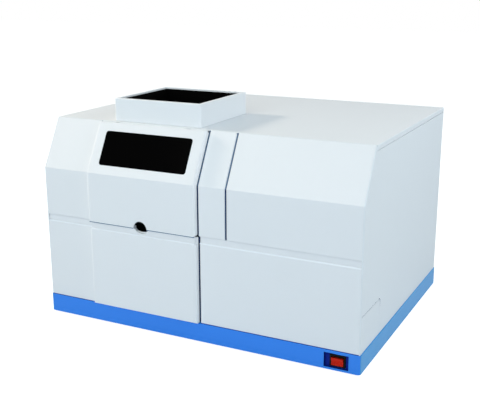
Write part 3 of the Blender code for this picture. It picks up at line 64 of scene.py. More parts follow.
def makeCamera(view):
    pitch, yaw = view["pitch"], view["yaw"]
    forward = Vector((-math.sin(yaw) * math.cos(pitch), math.cos(yaw) * math.cos(pitch), math.sin(pitch)))
    right = Vector((math.cos(yaw), math.sin(yaw), 0.0))
    turn = Matrix((right, right.cross(forward), -forward)).transposed().to_4x4()
    data = bpy.data.cameras.new("photoCamera")
    data.lens, data.sensor_width = view["lens"], view["sensor"]
    data.clip_start, data.clip_end = view["clip"]
    camera = newObject("photoCamera", data)
    camera.matrix_world = Matrix.Translation(view["place"]) @ turn @ Matrix.Rotation(view["roll"], 4, "Z")
    bpy.context.scene.camera = camera


makeCamera(cameraView)
bpy.context.scene.view_settings.view_transform = "Standard"


# Colours are written as sRGB shares, and Blender gets them as linear ones
def linear(colour):
    return [((c + 0.055) / 1.055) ** 2.4 if c > 0.04045 else c / 12.92 for c in colour] + [1.0]


def addNode(tree, kind, inputs=None, **settings):
    # Each input gets a value, or a wire from another node's output
    node = tree.nodes.new(kind)
    for key, value in settings.items():
        setattr(node, key, value)
    for key, value in (inputs or {}).items():
        if isinstance(value, bpy.types.NodeSocket):
            tree.links.new(value, node.inputs[key])
        else:
            node.inputs[key].default_value = value
    return node


# Studio: soft lamps, a pale world, and a floor that shows white and keeps the shadow
studio = dict(
    worldColour=(0.845, 0.937, 1.0), worldStrength=0.384,
    lamps=[  # name, place, size, power and colour
        ("keySoftbox", (-0.30, -1.25, 1.32), (0.9, 0.6), 3.1, (1.0, 0.995, 0.87)),
        ("frontSoftbox", (-0.1, -2.4, 1.05), (1.2, 0.8), 18.0, (0.900, 0.940, 0.986)),
        ("leftSoftbox", (-2.6, -0.20, 1.70), (0.45, 0.45), 47.0, (1.0, 0.932, 0.845)),
        ("sideSoftbox", (1.7, -0.25, 1.25), (1.0, 0.8), 12.0, (0.978, 1.0, 0.998)),
        ("rearSoftbox", (0.7, 2.3, 0.75), (1.2, 0.8), 7.0, (1.0, 1.0, 1.0)),
    ],
    lampAim=(0.0, -0.05, 0.22),
    floorColour=(0.78, 0.81, 0.83), floorGlow=(1.0, 0.995, 0.980), floorLift=0.86, floorHalf=9.0,
)


def whiteRays(tree):
    # 1 for every ray that should meet the white background
    path = addNode(tree, "ShaderNodeLightPath").outputs
    seen = addNode(tree, "ShaderNodeMath", {0: path["Is Camera Ray"], 1: path["Is Glossy Ray"]}, operation="MAXIMUM")
    return addNode(tree, "ShaderNodeMath", {0: seen.outputs[0], 1: path["Is Transmission Ray"]},
        operation="MAXIMUM").outputs[0]


def makeWorld(look):
    world = bpy.data.worlds.new("paleRoom")
    world.use_nodes = True
    tree = world.node_tree
    tree.nodes.clear()
    light = addNode(tree, "ShaderNodeBackground", {"Color": linear(look["worldColour"]),
        "Strength": look["worldStrength"]})
    white = addNode(tree, "ShaderNodeBackground", {"Color": (1, 1, 1, 1), "Strength": 1.0})
    mix = addNode(tree, "ShaderNodeMixShader", {0: whiteRays(tree), 1: light.outputs[0], 2: white.outputs[0]})
    addNode(tree, "ShaderNodeOutputWorld", {"Surface": mix.outputs[0]})
    bpy.context.scene.world = world


def makeLamps(look):
    for name, place, size, power, colour in look["lamps"]:
        data = bpy.data.lights.new(name, "AREA")
        data.shape = "RECTANGLE"
        data.size, data.size_y = size
        data.energy, data.color = power, linear(colour)[:3]
        obj = newObject(name, data)
        obj.location = place
        obj.rotation_euler = (Vector(look["lampAim"]) - obj.location).to_track_quat("-Z", "Y").to_euler()


def makeFloor(look):
    half = look["floorHalf"]
    mesh = bpy.data.meshes.new("studioFloor")
    mesh.from_pydata([(-half, -half, 0), (half, -half, 0), (half, half, 0), (-half, half, 0)], [], [(0, 1, 2, 3)])
    floor = newObject("studioFloor", mesh)
    mat = bpy.data.materials.new("paleFloor")
    mat.use_nodes = True
    tree = mat.node_tree
    tree.nodes.clear()
    matt = addNode(tree, "ShaderNodeBsdfDiffuse", {"Color": linear(look["floorColour"])})
    lift = addNode(tree, "ShaderNodeMath", {0: whiteRays(tree), 1: look["floorLift"]}, operation="MULTIPLY")
    glow = addNode(tree, "ShaderNodeEmission", {"Color": linear(look["floorGlow"]), "Strength": lift.outputs[0]})
    both = addNode(tree, "ShaderNodeAddShader", {0: matt.outputs[0], 1: glow.outputs[0]})
    addNode(tree, "ShaderNodeOutputMaterial", {"Surface": both.outputs[0]})
    mesh.materials.append(mat)


makeWorld(studio)
makeLamps(studio)
makeFloor(studio)
print("studio made")


# Finishes. Each has a broad change of shade, a fine grain in its roughness and a bump
finishBase = dict(roughSpread=0.06, broad=30.0, fine=900.0, bump=0.10, depth=0.0001)
finishes = dict(
    whiteMoulding=dict(colour=(0.945, 0.949, 0.957), second=(0.935, 0.940, 0.949), rough=0.46, roughSpread=0.05,
        broad=3.0, specular=0.35),
    chimneyPaint=dict(colour=(0.948, 0.957, 0.966), second=(0.938, 0.948, 0.958), rough=0.48, broad=3.0,
        fine=1300.0, bump=0.12, specular=0.4),
    whiteSteel=dict(colour=(0.925, 0.936, 0.947), second=(0.910, 0.924, 0.938), rough=0.50, broad=2.5,
        fine=1300.0, bump=0.14, specular=0.35),
    # The plinth's paint greys at low angles: a painted sheen for the reflection of the pale room
    bluePlinthPaint=dict(colour=(0.220, 0.548, 0.958), second=(0.205, 0.532, 0.942), rough=0.42, broad=4.0,
        fine=1100.0, specular=0.25, grazingSheen=(0.15, 0.60, 0.855), grazingSheenFrom=0.33, grazingSheenTo=0.55),
    smokedAcrylic=dict(colour=(0.006, 0.006, 0.007), second=(0.010, 0.010, 0.011), rough=0.16, roughSpread=0.02,
        broad=6.0, fine=300.0, bump=0.01, depth=0.00005, specular=0.012),
    # The chimney liner is near black, darker than the black steel of the flame box
    nearBlackSteel=dict(colour=(0.010, 0.010, 0.011), second=(0.018, 0.017, 0.017), rough=0.75, roughSpread=0.12,
        broad=9.0, fine=800.0, bump=0.2, specular=0.02),
    blackPlastic=dict(colour=(0.055, 0.056, 0.060), second=(0.045, 0.046, 0.050), rough=0.42, roughSpread=0.08,
        broad=20.0, fine=1500.0, bump=0.2),
    switchBlack=dict(colour=(0.016, 0.016, 0.018), second=(0.010, 0.010, 0.012), rough=0.38, broad=20.0,
        fine=1500.0, bump=0.15, specular=0.10),
    redLens=dict(colour=(0.90, 0.16, 0.03), second=(0.78, 0.10, 0.02), rough=0.30, roughSpread=0.03, broad=60.0,
        fine=700.0, bump=0.03, specular=0.12),
    blackSteel=dict(colour=(0.085, 0.087, 0.092), second=(0.110, 0.110, 0.114), rough=0.58, roughSpread=0.12,
        broad=8.0, bump=0.2),
    brushedSteel=dict(colour=(0.66, 0.67, 0.68), second=(0.58, 0.59, 0.60), rough=0.32, roughSpread=0.12,
        broad=60.0, fine=700.0, bump=0.08, metal=1.0, stretch=(0.05, 1.0, 1.0)),
    footRubber=dict(colour=(0.07, 0.07, 0.07), second=(0.055, 0.055, 0.055), rough=0.85, roughSpread=0.08,
        broad=40.0, fine=1800.0, bump=0.3),
    heatedTitanium=dict(colour=(0.52, 0.50, 0.47), second=(0.40, 0.36, 0.34), rough=0.36, roughSpread=0.12,
        broad=35.0, fine=1200.0, metal=1.0),
    greyPolymer=dict(colour=(0.47, 0.48, 0.49), second=(0.43, 0.44, 0.45), rough=0.48, broad=15.0, bump=0.08),
    castAluminium=dict(colour=(0.70, 0.71, 0.72), second=(0.62, 0.63, 0.64), rough=0.42, roughSpread=0.14,
        fine=1100.0, bump=0.22, depth=0.00015, metal=1.0),
    blackAnodised=dict(colour=(0.07, 0.07, 0.075), second=(0.055, 0.055, 0.06), rough=0.36, roughSpread=0.08,
        broad=40.0, fine=1400.0, metal=0.6),
    turnedBrass=dict(colour=(0.78, 0.62, 0.32), second=(0.68, 0.52, 0.26), rough=0.28, roughSpread=0.1,
        broad=50.0, fine=800.0, bump=0.08, metal=1.0),
    frontMirror=dict(colour=(0.86, 0.88, 0.90), second=(0.82, 0.84, 0.86), rough=0.04, roughSpread=0.02,
        broad=8.0, fine=200.0, bump=0.01, depth=0.00005, metal=1.0),
    solderMask=dict(colour=(0.05, 0.30, 0.17), second=(0.035, 0.23, 0.12), rough=0.35, roughSpread=0.08,
        broad=120.0, fine=1500.0, bump=0.15),
    lampGlass=dict(colour=(0.93, 0.95, 0.96), second=(0.90, 0.93, 0.94), rough=0.05, roughSpread=0.02,
        broad=10.0, fine=200.0, bump=0.02, depth=0.00005, clear=0.9),
    # The next six finishes paint light and shade into colour: the dark blues and greys are painted shade for the
    # switch pocket, seams and gaps, and the whitest is a painted highlight for the lips
    shadedBlue=dict(colour=(0.055, 0.165, 0.58), second=(0.045, 0.145, 0.54), rough=0.6, specular=0.1),
    shadeNavy=dict(colour=(0.10, 0.22, 0.46), second=(0.08, 0.18, 0.40), rough=0.6, specular=0.1),
    shadowBlue=dict(colour=(0.13, 0.32, 0.68), second=(0.11, 0.28, 0.62), rough=0.5, broad=20.0, specular=0.15),
    highlightWhite=dict(colour=(0.97, 0.98, 0.995), second=(0.95, 0.965, 0.985), rough=0.4, broad=6.0, bump=0.05),
    paleSeamShade=dict(colour=(0.34, 0.45, 0.57), second=(0.31, 0.42, 0.54), rough=0.6, broad=8.0),
    seamShadeGrey=dict(colour=(0.15, 0.24, 0.40), second=(0.13, 0.21, 0.36), rough=0.6, specular=0.1),
    whiteCeramic=dict(colour=(0.90, 0.89, 0.86), second=(0.84, 0.83, 0.80), rough=0.5, roughSpread=0.1,
        broad=60.0, bump=0.15),
)


def makeFinish(name, look):
    mat = bpy.data.materials.new(name)
    mat.use_nodes = True
    tree = mat.node_tree
    shader = tree.nodes["Principled BSDF"].inputs
    for socket, key in (("Metallic", "metal"), ("Specular IOR Level", "specular"), ("Transmission Weight", "clear")):
        if key in look:
            shader[socket].default_value = look[key]
    place = addNode(tree, "ShaderNodeTexCoord").outputs["Object"]
    if "stretch" in look:
        place = addNode(tree, "ShaderNodeMapping", {"Vector": place, "Scale": look["stretch"]}).outputs[0]
    broad, fine = (addNode(tree, "ShaderNodeTexNoise", {"Vector": place, "Scale": look[key], "Detail": detail,
        "Roughness": rough}).outputs[0] for key, detail, rough in (("broad", 3.0, 0.55), ("fine", 2.0, 0.6)))
    base = addNode(tree, "ShaderNodeMix", {0: broad, 6: linear(look["second"]), 7: linear(look["colour"])},
        data_type="RGBA").outputs[2]
    gloss = addNode(tree, "ShaderNodeMapRange", {"Value": fine, "To Min": look["rough"] - look["roughSpread"],
        "To Max": look["rough"] + look["roughSpread"]})
    bump = addNode(tree, "ShaderNodeBump", {"Height": fine, "Strength": look["bump"], "Distance": look["depth"]})
    if "grazingSheen" in look:
        # Painted sheen: the colour turns greyer where the satin paint is seen at a low angle, standing in for its
        # reflection of the pale room
        angle = addNode(tree, "ShaderNodeLayerWeight", {"Blend": 0.5}).outputs["Facing"]
        share = addNode(tree, "ShaderNodeMapRange", {"Value": angle, "From Min": look["grazingSheenFrom"],
            "From Max": look["grazingSheenTo"]})
        base = addNode(tree, "ShaderNodeMix", {0: share.outputs[0], 6: base, 7: linear(look["grazingSheen"])},
            data_type="RGBA").outputs[2]
    for output, socket in ((base, "Base Color"), (gloss.outputs[0], "Roughness"), (bump.outputs[0], "Normal")):
        tree.links.new(output, shader[socket])
    return mat


finish = {name: makeFinish(name, {**finishBase, **look}) for name, look in finishes.items()}
slotFinish = {"blue_plinth": "bluePlinthPaint", "foot_rubber": "footRubber", "black_plastic": "blackPlastic",
    "red_rocker": "redLens", "white_steel": "whiteSteel", "white_moulding": "whiteMoulding",
    "smoked_acrylic": "smokedAcrylic", "black_steel": "blackSteel", "plain_steel": "brushedSteel",
    "lens_mount": "blackAnodised", "burner_titanium": "heatedTitanium", "grey_polymer": "greyPolymer",
    "cast_aluminium": "castAluminium", "brass": "turnedBrass", "lamp_glass": "lampGlass",
    "mirror_face": "frontMirror", "board_green": "solderMask"}


# How far each piece's edges are rounded beyond the shape of its solid, in metres and degrees
softening = {"angle": 24.0, "angles": {"chimney_collar": 40.0}, "segments": 2, "weld": 0.00001, "flat": 0.5,
    "other": 0.0003,
    "edges": {"left_hood": 0.0010, "middle_hood": 0.0010, "right_hood": 0.0010, "top_cover": 0.0008,
        "left_side_panel": 0.0008, "right_side_panel": 0.0008, "flame_door": 0.0011, "lower_door": 0.0010,
        "left_lower_panel": 0.0010, "right_lower_panel": 0.0010, "side_hatch": 0.0011, "plinth": 0.0008,
        "chimney_collar": 0.0006, "rear_panel": 0.0005, "switch_bezel": 0.0004, "switch_rocker": 0.0004}}
nodeFinish = {"chimney_liner": "nearBlackSteel", "chimney_collar": "chimneyPaint", "switch_bezel": "switchBlack"}


def dressNodes(record, soft):
    # Every node keeps its shape, gets its finish, and is shaded smooth across its round faces
    for part in record["subparts"]:
        name = part["node"]
        obj = nodes[name]
        obj.data.materials.clear()
        obj.data.materials.append(finish[nodeFinish.get(name, slotFinish[part["material_slot"]])])
        for face in obj.data.polygons:
            face.use_smooth = True
        obj.modifiers.new("joinCorners", "WELD").merge_threshold = soft["weld"]
        flat = obj.modifiers.new("joinFlatFaces", "DECIMATE")
        flat.decimate_type = "DISSOLVE"
        flat.angle_limit = math.radians(soft["flat"])
        ease = obj.modifiers.new("softEdges", "BEVEL")
        ease.limit_method = "ANGLE"
        ease.angle_limit = math.radians(soft["angles"].get(name, soft["angle"]))
        ease.width, ease.segments = soft["edges"].get(name, soft["other"]), soft["segments"]
        ease.use_clamp_overlap = True
        obj.modifiers.new("evenShade", "WEIGHTED_NORMAL").keep_sharp = True


dressNodes(frame["record"], softening)
print("nodes dressed")


# Places of points: round a circle, along a line, at a box's corners and round a frame's four sides
def around(count, radius, first=0.0):
    angles = [math.radians(first) + math.tau * i / count for i in range(count)]
    return [(radius * math.cos(angle), radius * math.sin(angle)) for angle in angles]


def spaced(low, high, count):
    return [low + (high - low) * i / (count - 1) for i in range(count)]


def grid(xs, ys, zs):
    return [(x, y, z) for x in xs for y in ys for z in zs]


def rectangle(low, high):
    return [(low[0], low[1]), (high[0], low[1]), (high[0], high[1]), (low[0], high[1])]


def frameSides(low, high, counts):
    along, up = (spaced(low[k], high[k], counts[k]) for k in (0, 1))
    return [(x, y) for x in along for y in (low[1], high[1])] + [(x, y) for y in up[1:-1] for x in (low[0], high[0])]


def boxOf(node):
    low, high = (Vector(corner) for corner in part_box(node))
    return low, high, (low + high) / 2


# Shape makers. Each adds one closed shape to a bmesh, in metres, at its place in the room
axisTurns = {"X": (math.pi / 2, "Y"), "Y": (-math.pi / 2, "X"), "-Y": (math.pi / 2, "X"), "Z": (0.0, "Z")}


def placed(place, axis):
    angle, about = axisTurns[axis]
    return Matrix.Translation(place) @ Matrix.Rotation(angle, 4, about)


def easeEdges(shape, verts, width, leastAngle=0.8):
    # Rounds the hard edges among these corners
    if width <= 0.0:
        return
    hard = {edge for vert in verts for edge in vert.link_edges
            if len(edge.link_faces) == 2 and edge.calc_face_angle() > leastAngle}
    bmesh.ops.bevel(shape, geom=list(hard), offset=width, segments=2, affect="EDGES", profile=0.5, clamp_overlap=True)


def joinRings(shape, pairs):
    # Faces from ring to ring; a ring may be a single point
    for one, two in pairs:
        count = max(len(one), len(two))
        for i in range(count if count > 1 else 0):
            j = (i + 1) % count
            spots = (one[i % len(one)], one[j % len(one)], two[j % len(two)], two[i % len(two)])
            shape.faces.new(list(dict.fromkeys(spots)))


def addBlock(shape, low, high, edge=0.0):
    low, high = Vector(low), Vector(high)
    place = Matrix.Translation((low + high) / 2) @ Matrix.Diagonal((*(high - low), 1.0))
    easeEdges(shape, bmesh.ops.create_cube(shape, size=1.0, matrix=place)["verts"], edge)


def addRod(shape, place, length, radius, axis="Z", sides=32, edge=0.0):
    turn = placed(place, axis) @ Matrix.Translation((0, 0, length / 2))
    made = bmesh.ops.create_cone(shape, cap_ends=True, segments=sides, radius1=radius, radius2=radius, depth=length,
        matrix=turn)["verts"]
    easeEdges(shape, made, edge, leastAngle=1.1)


def addLathe(shape, profile, place, axis="Z", sides=40, closed=False):
    # The profile is a list of (radius, height); a closed one makes a ring
    turn = placed(place, axis)
    rings = []
    for radius, height in profile:
        spots = around(sides, radius) if radius else [(0, 0)]
        rings.append([shape.verts.new(turn @ Vector((x, y, height))) for x, y in spots])
    joinRings(shape, list(zip(rings, rings[1:])) + ([(rings[-1], rings[0])] if closed else []))


def addPrism(shape, outline, low, high, axis="Z", edge=0.0):
    # An outline in (x, y), (x, z) or (y, z), pushed along the axis that is left
    spots = {"Z": lambda p, h: (p[0], p[1], h), "Y": lambda p, h: (p[0], h, p[1]), "X": lambda p, h: (h, *p)}
    ends = [[shape.verts.new(spots[axis](point, level)) for point in outline] for level in (low, high)]
    shape.faces.new(ends[0])
    shape.faces.new(ends[1])
    joinRings(shape, [ends])
    bmesh.ops.recalc_face_normals(shape, faces=shape.faces)
    easeEdges(shape, ends[0] + ends[1], edge)


def addTube(shape, path, radius, sides):
    # A round wire along a path of points
    path = [Vector(point) for point in path]
    rings, across = [], None
    for i, point in enumerate(path):
        ahead = (path[min(i + 1, len(path) - 1)] - path[max(i - 1, 0)]).normalized()
        if across is None:
            across = ahead.orthogonal().normalized()
        across = (across - ahead * across.dot(ahead)).normalized()
        other = ahead.cross(across)
        rings.append([shape.verts.new(point + across * x + other * y) for x, y in around(sides, radius)])
    joinRings(shape, zip(rings, rings[1:]))
    shape.faces.new(rings[0])
    shape.faces.new(rings[-1])


def helixPath(centre, radius, pitch, low, high, start=0.0, steps=14):
    turns = (high - low) / pitch
    count = int(turns * steps)
    spots = []
    for i in range(count + 1):
        angle = start + math.tau * turns * i / count
        spots.append((centre[0] + radius * math.cos(angle), centre[1] + radius * math.sin(angle),
            low + (high - low) * i / count))
    return spots


# Screws whose heads stand on a surface: one kind has a socket, the other a domed head with a recess
def socketHead(radius, height):
    hole, floor = radius * 0.5, height * 0.35
    return [(0, 0), (radius, 0), (radius, height * 0.8), (radius * 0.85, height), (hole, height), (hole, floor),
        (0, floor)]


def panHead(radius, height):
    return [(0, 0), (radius, 0), (radius * 0.96, height * 0.45), (radius * 0.75, height * 0.85),
        (radius * 0.45, height), (radius * 0.30, height * 0.45), (0, height * 0.40)]


def addScrews(shape, places, head, axis="Z", sides=20):
    for place in places:
        addLathe(shape, head, place, axis, sides)


def newPiece(name, shape, look, body="case", standsFor=None, sharp=38.0):
    bmesh.ops.recalc_face_normals(shape, faces=shape.faces)
    mesh = bpy.data.meshes.new(name)
    shape.to_mesh(mesh)
    shape.free()
    for face in mesh.polygons:
        face.use_smooth = True
    mesh.set_sharp_from_angle(angle=math.radians(sharp))
    mesh.materials.append(finish[look])
    piece = newObject(name, mesh)
    piece.modifiers.new("evenShade", "WEIGHTED_NORMAL").keep_sharp = True
    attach(piece, body)
    if standsFor:
        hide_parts(standsFor)


def addFitted(shape, fit, low, high=None):
    # A block between two points or about one, its corners moved by the fit's offsets and its edges rounded
    end = low if high is None else high
    addBlock(shape, Vector(low) + Vector(fit[0]), Vector(end) + Vector(fit[1]), fit[2])


# In the dictionaries a rod is (length, radius, axis, sides, rounding), a profile is a list of (radius, height),
# a ring is two corners of its section, a screw is (radius, height), and a fitted block is as above


# Mains switch: a pocket whose thin lining is painted with the shade inside it, and a glowing rocker with grip ribs
switchDetail = dict(pocketLow=(0.2793, -0.2680, 0.0070), pocketHigh=(0.3276, -0.2610, 0.0360), shadeLining=0.0002,
    shadeLiningFrom=0.0008, ribs=4, ribRise=0.0022, ribPitch=0.0017, ribSink=0.0004, lean=0.113722,
    rib=(0.018, 0.00028, "X", 10))


def makeSwitchDetail(look):
    low, high, skin = Vector(look["pocketLow"]), Vector(look["pocketHigh"]), look["shadeLining"]
    shadeLining, ribs = bmesh.new(), bmesh.new()
    outer = rectangle((low.x, low.z), (high.x, high.z))
    inner = rectangle((low.x + skin, low.z + skin), (high.x - skin, high.z - skin))
    for i in range(4):
        j = (i + 1) % 4
        addPrism(shadeLining, [outer[i], outer[j], inner[j], inner[i]], low.y + look["shadeLiningFrom"], high.y, "Y")
    bezelLow, bezelHigh, _ = boxOf("switch_bezel")
    for start, end in ((low.x, bezelLow.x), (bezelHigh.x, high.x)):
        addBlock(shadeLining, (start, high.y - skin, low.z), (end, high.y, high.z))
    # The lining's dark blue is painted shade on the pocket's walls
    newPiece("pocketShadeLining", shadeLining, "shadedBlue")
    low, high, centre = boxOf("switch_rocker")
    for i in range(look["ribs"]):
        rise = look["ribRise"] + i * look["ribPitch"]
        face = low.y + rise * look["lean"] + look["ribSink"]
        addRod(ribs, (centre.x - look["rib"][0] / 2, face, low.z + rise), *look["rib"])
    newPiece("rockerRibs", ribs, "redLens", "switch_rocker")


# The case's front runs straight up to its knee and then leans back along a slope
frontShape = dict(slopeRun=0.0533, slopeDrop=0.098)


def frontLine(low, high, depth):
    # Points of the front at a depth behind its face, from one level up to another
    hoodLow, hoodHigh, _ = boxOf("right_hood")
    run, drop = frontShape["slopeRun"], frontShape["slopeDrop"]
    slope, straight = math.hypot(run, drop), hoodLow.y + depth
    knee = hoodHigh.z - drop + depth * (drop - slope) / run
    if high <= knee:
        return [(straight, low), (straight, high)]
    tilted = hoodLow.y + run + depth * slope / drop - (hoodHigh.z - high) * run / drop
    return [(straight, low), (straight, knee), (tilted, high)]


# Strips painted with the shade in the seams of the doors and hoods, painted shadow lines at the plinth and under the
# door's foot, and corner beads
seamLook = dict(upper=(("flame_door", "middle_hood"), ("middle_hood", "right_hood"), ("left_hood", "flame_door")),
    lower=(("lower_door", "right_lower_panel"), ("left_lower_panel", "lower_door")),
    near=0.0007, far=0.0019, side=0.0002, foot=0.001, head=0.0006,
    shadowLine=((0, -0.0008, 0.00005), (0, 0.0015, 0.0003), 0.0001))
beadLook = dict(near=0.0003, far=0.002, proud=0.00015, half=0.0007, end=0.001)
footLook = dict(shadowLine=((0, 0.0003, -0.0008), (0, 0.0018, 0.0007), 0.0002), end=0.002, notch=0.0158)


def makeSeams(look):
    shadeStrips, paleShadeStrips, shadowLine = bmesh.new(), bmesh.new(), bmesh.new()
    near, far, side = look["near"], look["far"], look["side"]
    low, high, _ = boxOf("right_hood")
    nearLine, farLine = (frontLine(low.z + look["foot"], high.z - look["head"], depth) for depth in (near, far))
    for left, right in look["upper"]:
        start, end = boxOf(left)[1].x + side, boxOf(right)[0].x - side
        addPrism(shadeStrips, nearLine[:2] + farLine[1::-1], start, end, "X")
        addPrism(paleShadeStrips, nearLine[1:] + farLine[:0:-1], start, end, "X")
    doorLow, doorHigh, _ = boxOf("lower_door")
    for left, right in look["lower"]:
        start, end = boxOf(left)[1].x + side, boxOf(right)[0].x - side
        addBlock(shadeStrips, (start, low.y + near, doorLow.z), (end, low.y + far, doorHigh.z))
    # The strips behind the seams are painted shade: dark grey in the upright part, paler on the slope
    newPiece("seamShadeStrips", shadeStrips, "seamShadeGrey")
    newPiece("slopeShadeStrips", paleShadeStrips, "paleSeamShade")
    # A thin blue strip at each lower panel's foot is a painted shadow line in the gap above the plinth
    for node in ("left_lower_panel", "right_lower_panel"):
        low, high, _ = boxOf(node)
        addFitted(shadowLine, look["shadowLine"], (low.x, low.y, boxOf("plinth")[1].z), (high.x, low.y, low.z))
    newPiece("plinthShadowLine", shadowLine, "shadowBlue")


def makeBeads(look):
    beads = bmesh.new()
    for node, end in (("right_hood", 1), ("right_lower_panel", 1), ("left_hood", 0), ("left_lower_panel", 0)):
        box = boxOf(node)
        x = box[end].x + (look["proud"] if end else -look["proud"])
        bottom, top = box[0].z + look["end"], box[1].z - look["end"]
        outline = frontLine(bottom, top, look["near"]) + frontLine(bottom, top, look["far"])[::-1]
        addPrism(beads, outline, x - look["half"], x + look["half"], "X")
    newPiece("cornerBeads", beads, "whiteMoulding")


def makeDoorFoot(look):
    low, high, centre = boxOf("flame_door")
    foot, end, notch = bmesh.new(), look["end"], look["notch"]
    for left, right in ((low.x + end, centre.x - notch), (centre.x + notch, high.x - end)):
        addFitted(foot, look["shadowLine"], (left, low.y, low.z), (right, low.y, low.z))
    # The strip under the door's foot is a painted shadow line
    newPiece("doorFootShadow", foot, "paleSeamShade", "flame_door")


# Pale trims, and crisp lips with a painted highlight, in the groove under the hoods and on the lower door's ledge
lipLook = dict(faceDepth=0.0026, lean=0.06, end=0.0004, doorEnd=0.0035, topGap=0.0005, footGap=0.0001,
    panel=dict(level=0.2072, depth=0.0092, below=0.0018, above=0.0005, run=0.0013),
    door=dict(level=0.2067, depth=0.0078, below=0.0008, above=0.0012, run=0.0011),
    thick=0.0007, shift=0.00005, scoopHalf=0.0155, scoopDrop=0.0081, scoopSteps=16,
    foot=((0, 0.0002, -0.0001), (0, 0.0020, 0.0003), 0.0))


def addTrim(shape, span, face, top, part, look, scoopAt=None):
    near, far, foot, steps = face + look["faceDepth"], face + part["depth"], part["level"], look["scoopSteps"]
    outline = [(span[0], foot + look["footGap"]), (span[1], foot + look["footGap"]), (span[1], top)]
    if scoopAt is not None:
        # The finger scoop stays open
        outline += [(scoopAt + look["scoopHalf"] * math.cos(math.pi * i / steps),
            top - look["scoopDrop"] * math.sin(math.pi * i / steps)) for i in range(steps + 1)]
    before = set(shape.verts)
    addPrism(shape, outline + [(span[0], top)], near, far, "Y")
    for vert in set(shape.verts) - before:
        if vert.co.y < (near + far) / 2:
            vert.co.y += (vert.co.z - foot) * look["lean"]


def addLip(shape, span, face, part, look):
    # A crisp chamfer that catches the light, and whose whiter finish paints a highlight on it
    foot, head, back = part["level"] - part["below"], part["level"] + part["above"], face + part["run"]
    outline = [(face, foot), (back, head), (back + look["thick"], head), (back + look["thick"], foot)]
    addPrism(shape, outline, *span, "X")


def makeLips(look):
    trims, lips, feet, trim, lip = (bmesh.new() for _ in range(5))
    for node in ("left_lower_panel", "right_lower_panel"):
        low, high, _ = boxOf(node)
        span = (low.x + look["end"], high.x - look["end"])
        addTrim(trims, span, low.y, high.z - look["topGap"], look["panel"], look)
        addLip(lips, span, low.y - look["shift"], look["panel"], look)
        addFitted(feet, look["foot"], (span[0], low.y, high.z), (span[1], low.y, high.z))
    newPiece("grooveTrims", trims, "whiteMoulding")
    # The lips' whiter finish is a painted highlight
    newPiece("grooveLips", lips, "highlightWhite")
    newPiece("hoodFootSeal", feet, "whiteMoulding")
    low, high, centre = boxOf("lower_door")
    span = (low.x + look["doorEnd"], high.x - look["doorEnd"])
    addTrim(trim, span, low.y, high.z - look["topGap"], look["door"], look, centre.x)
    addLip(lip, span, low.y + look["shift"], look["door"], look)
    newPiece("ledgeTrim", trim, "whiteMoulding", "lower_door")
    # The lip's whiter finish is a painted highlight
    newPiece("ledgeLip", lip, "highlightWhite", "lower_door")


# A line of painted shade round the side hatch's seam, wider at its upper rear corner
hatchLook = dict(line=((-0.0004, 0.002, 0.0001), (0.00005, -0.006, 0.0005), 0.0), gap=0.0001, corner=0.006,
    tick=0.0014, fade=0.0003, sweep=95.0, turnSteps=8, drop=0.010, fallSteps=4)


def makeHatchLine(look):
    low, high, _ = boxOf("side_hatch")
    line, tick = bmesh.new(), bmesh.new()
    addFitted(line, look["line"], (high.x, low.y, high.z), high)
    newPiece("hatchShadeLine", line, "seamShadeGrey")
    turnSteps, fallSteps, corner = look["turnSteps"], look["fallSteps"], look["corner"]
    inner, outer = [], []
    for i in range(turnSteps + fallSteps + 1):
        # Round the corner first, then straight down
        angle = math.radians(look["sweep"] * max(0.0, 1 - i / turnSteps))
        fall = look["drop"] * max(0, i - turnSteps) / fallSteps
        width = look["tick"] + (look["fade"] - look["tick"]) * i / (turnSteps + fallSteps)
        for spots, radius in ((inner, corner + look["gap"]), (outer, corner + look["gap"] + width)):
            y, z = radius * math.cos(angle), radius * math.sin(angle)
            spots.append((high.y - corner + y, high.z - corner + z - fall))
    addPrism(tick, inner + outer[::-1], high.x + look["line"][0][0], high.x + look["line"][1][0], "X")
    newPiece("hatchCornerShade", tick, "shadeNavy")


makeSwitchDetail(switchDetail)
makeSeams(seamLook)
makeBeads(beadLook)
makeDoorFoot(footLook)
makeLips(lipLook)
makeHatchLine(hatchLook)
print("switch and seams detailed")


# Burner: two jaws with a slot between them, finned sides, a knurled collar and screws
burnerLook = dict(slotHalf=0.0003, slotDepth=0.008, slotEase=0.0006, baseHalf=0.013, topHalf=0.009,
    topEase=0.0012, edge=0.0005, fins=4, finFrom=0.006, finPitch=0.0042, finHeight=0.0018,
    finDepth=0.0012, finLip=0.0004, collarRise=0.014,
    collar=[(0.0146, 0), (0.019, 0), (0.020, 0.001), (0.020, 0.011), (0.017, 0.014), (0.0146, 0.014)],
    knurls=40, knurlCircle=0.020, knurlRise=0.0015, knurl=(0.008, 0.0006, "Z", 6),
    screw=[(0, 0), (0.0021, 0), (0.0021, 0.0012), (0.001, 0.0012), (0.001, 0.0004), (0, 0.0004)],
    screwSide=0.0055, screwRise=0.009)


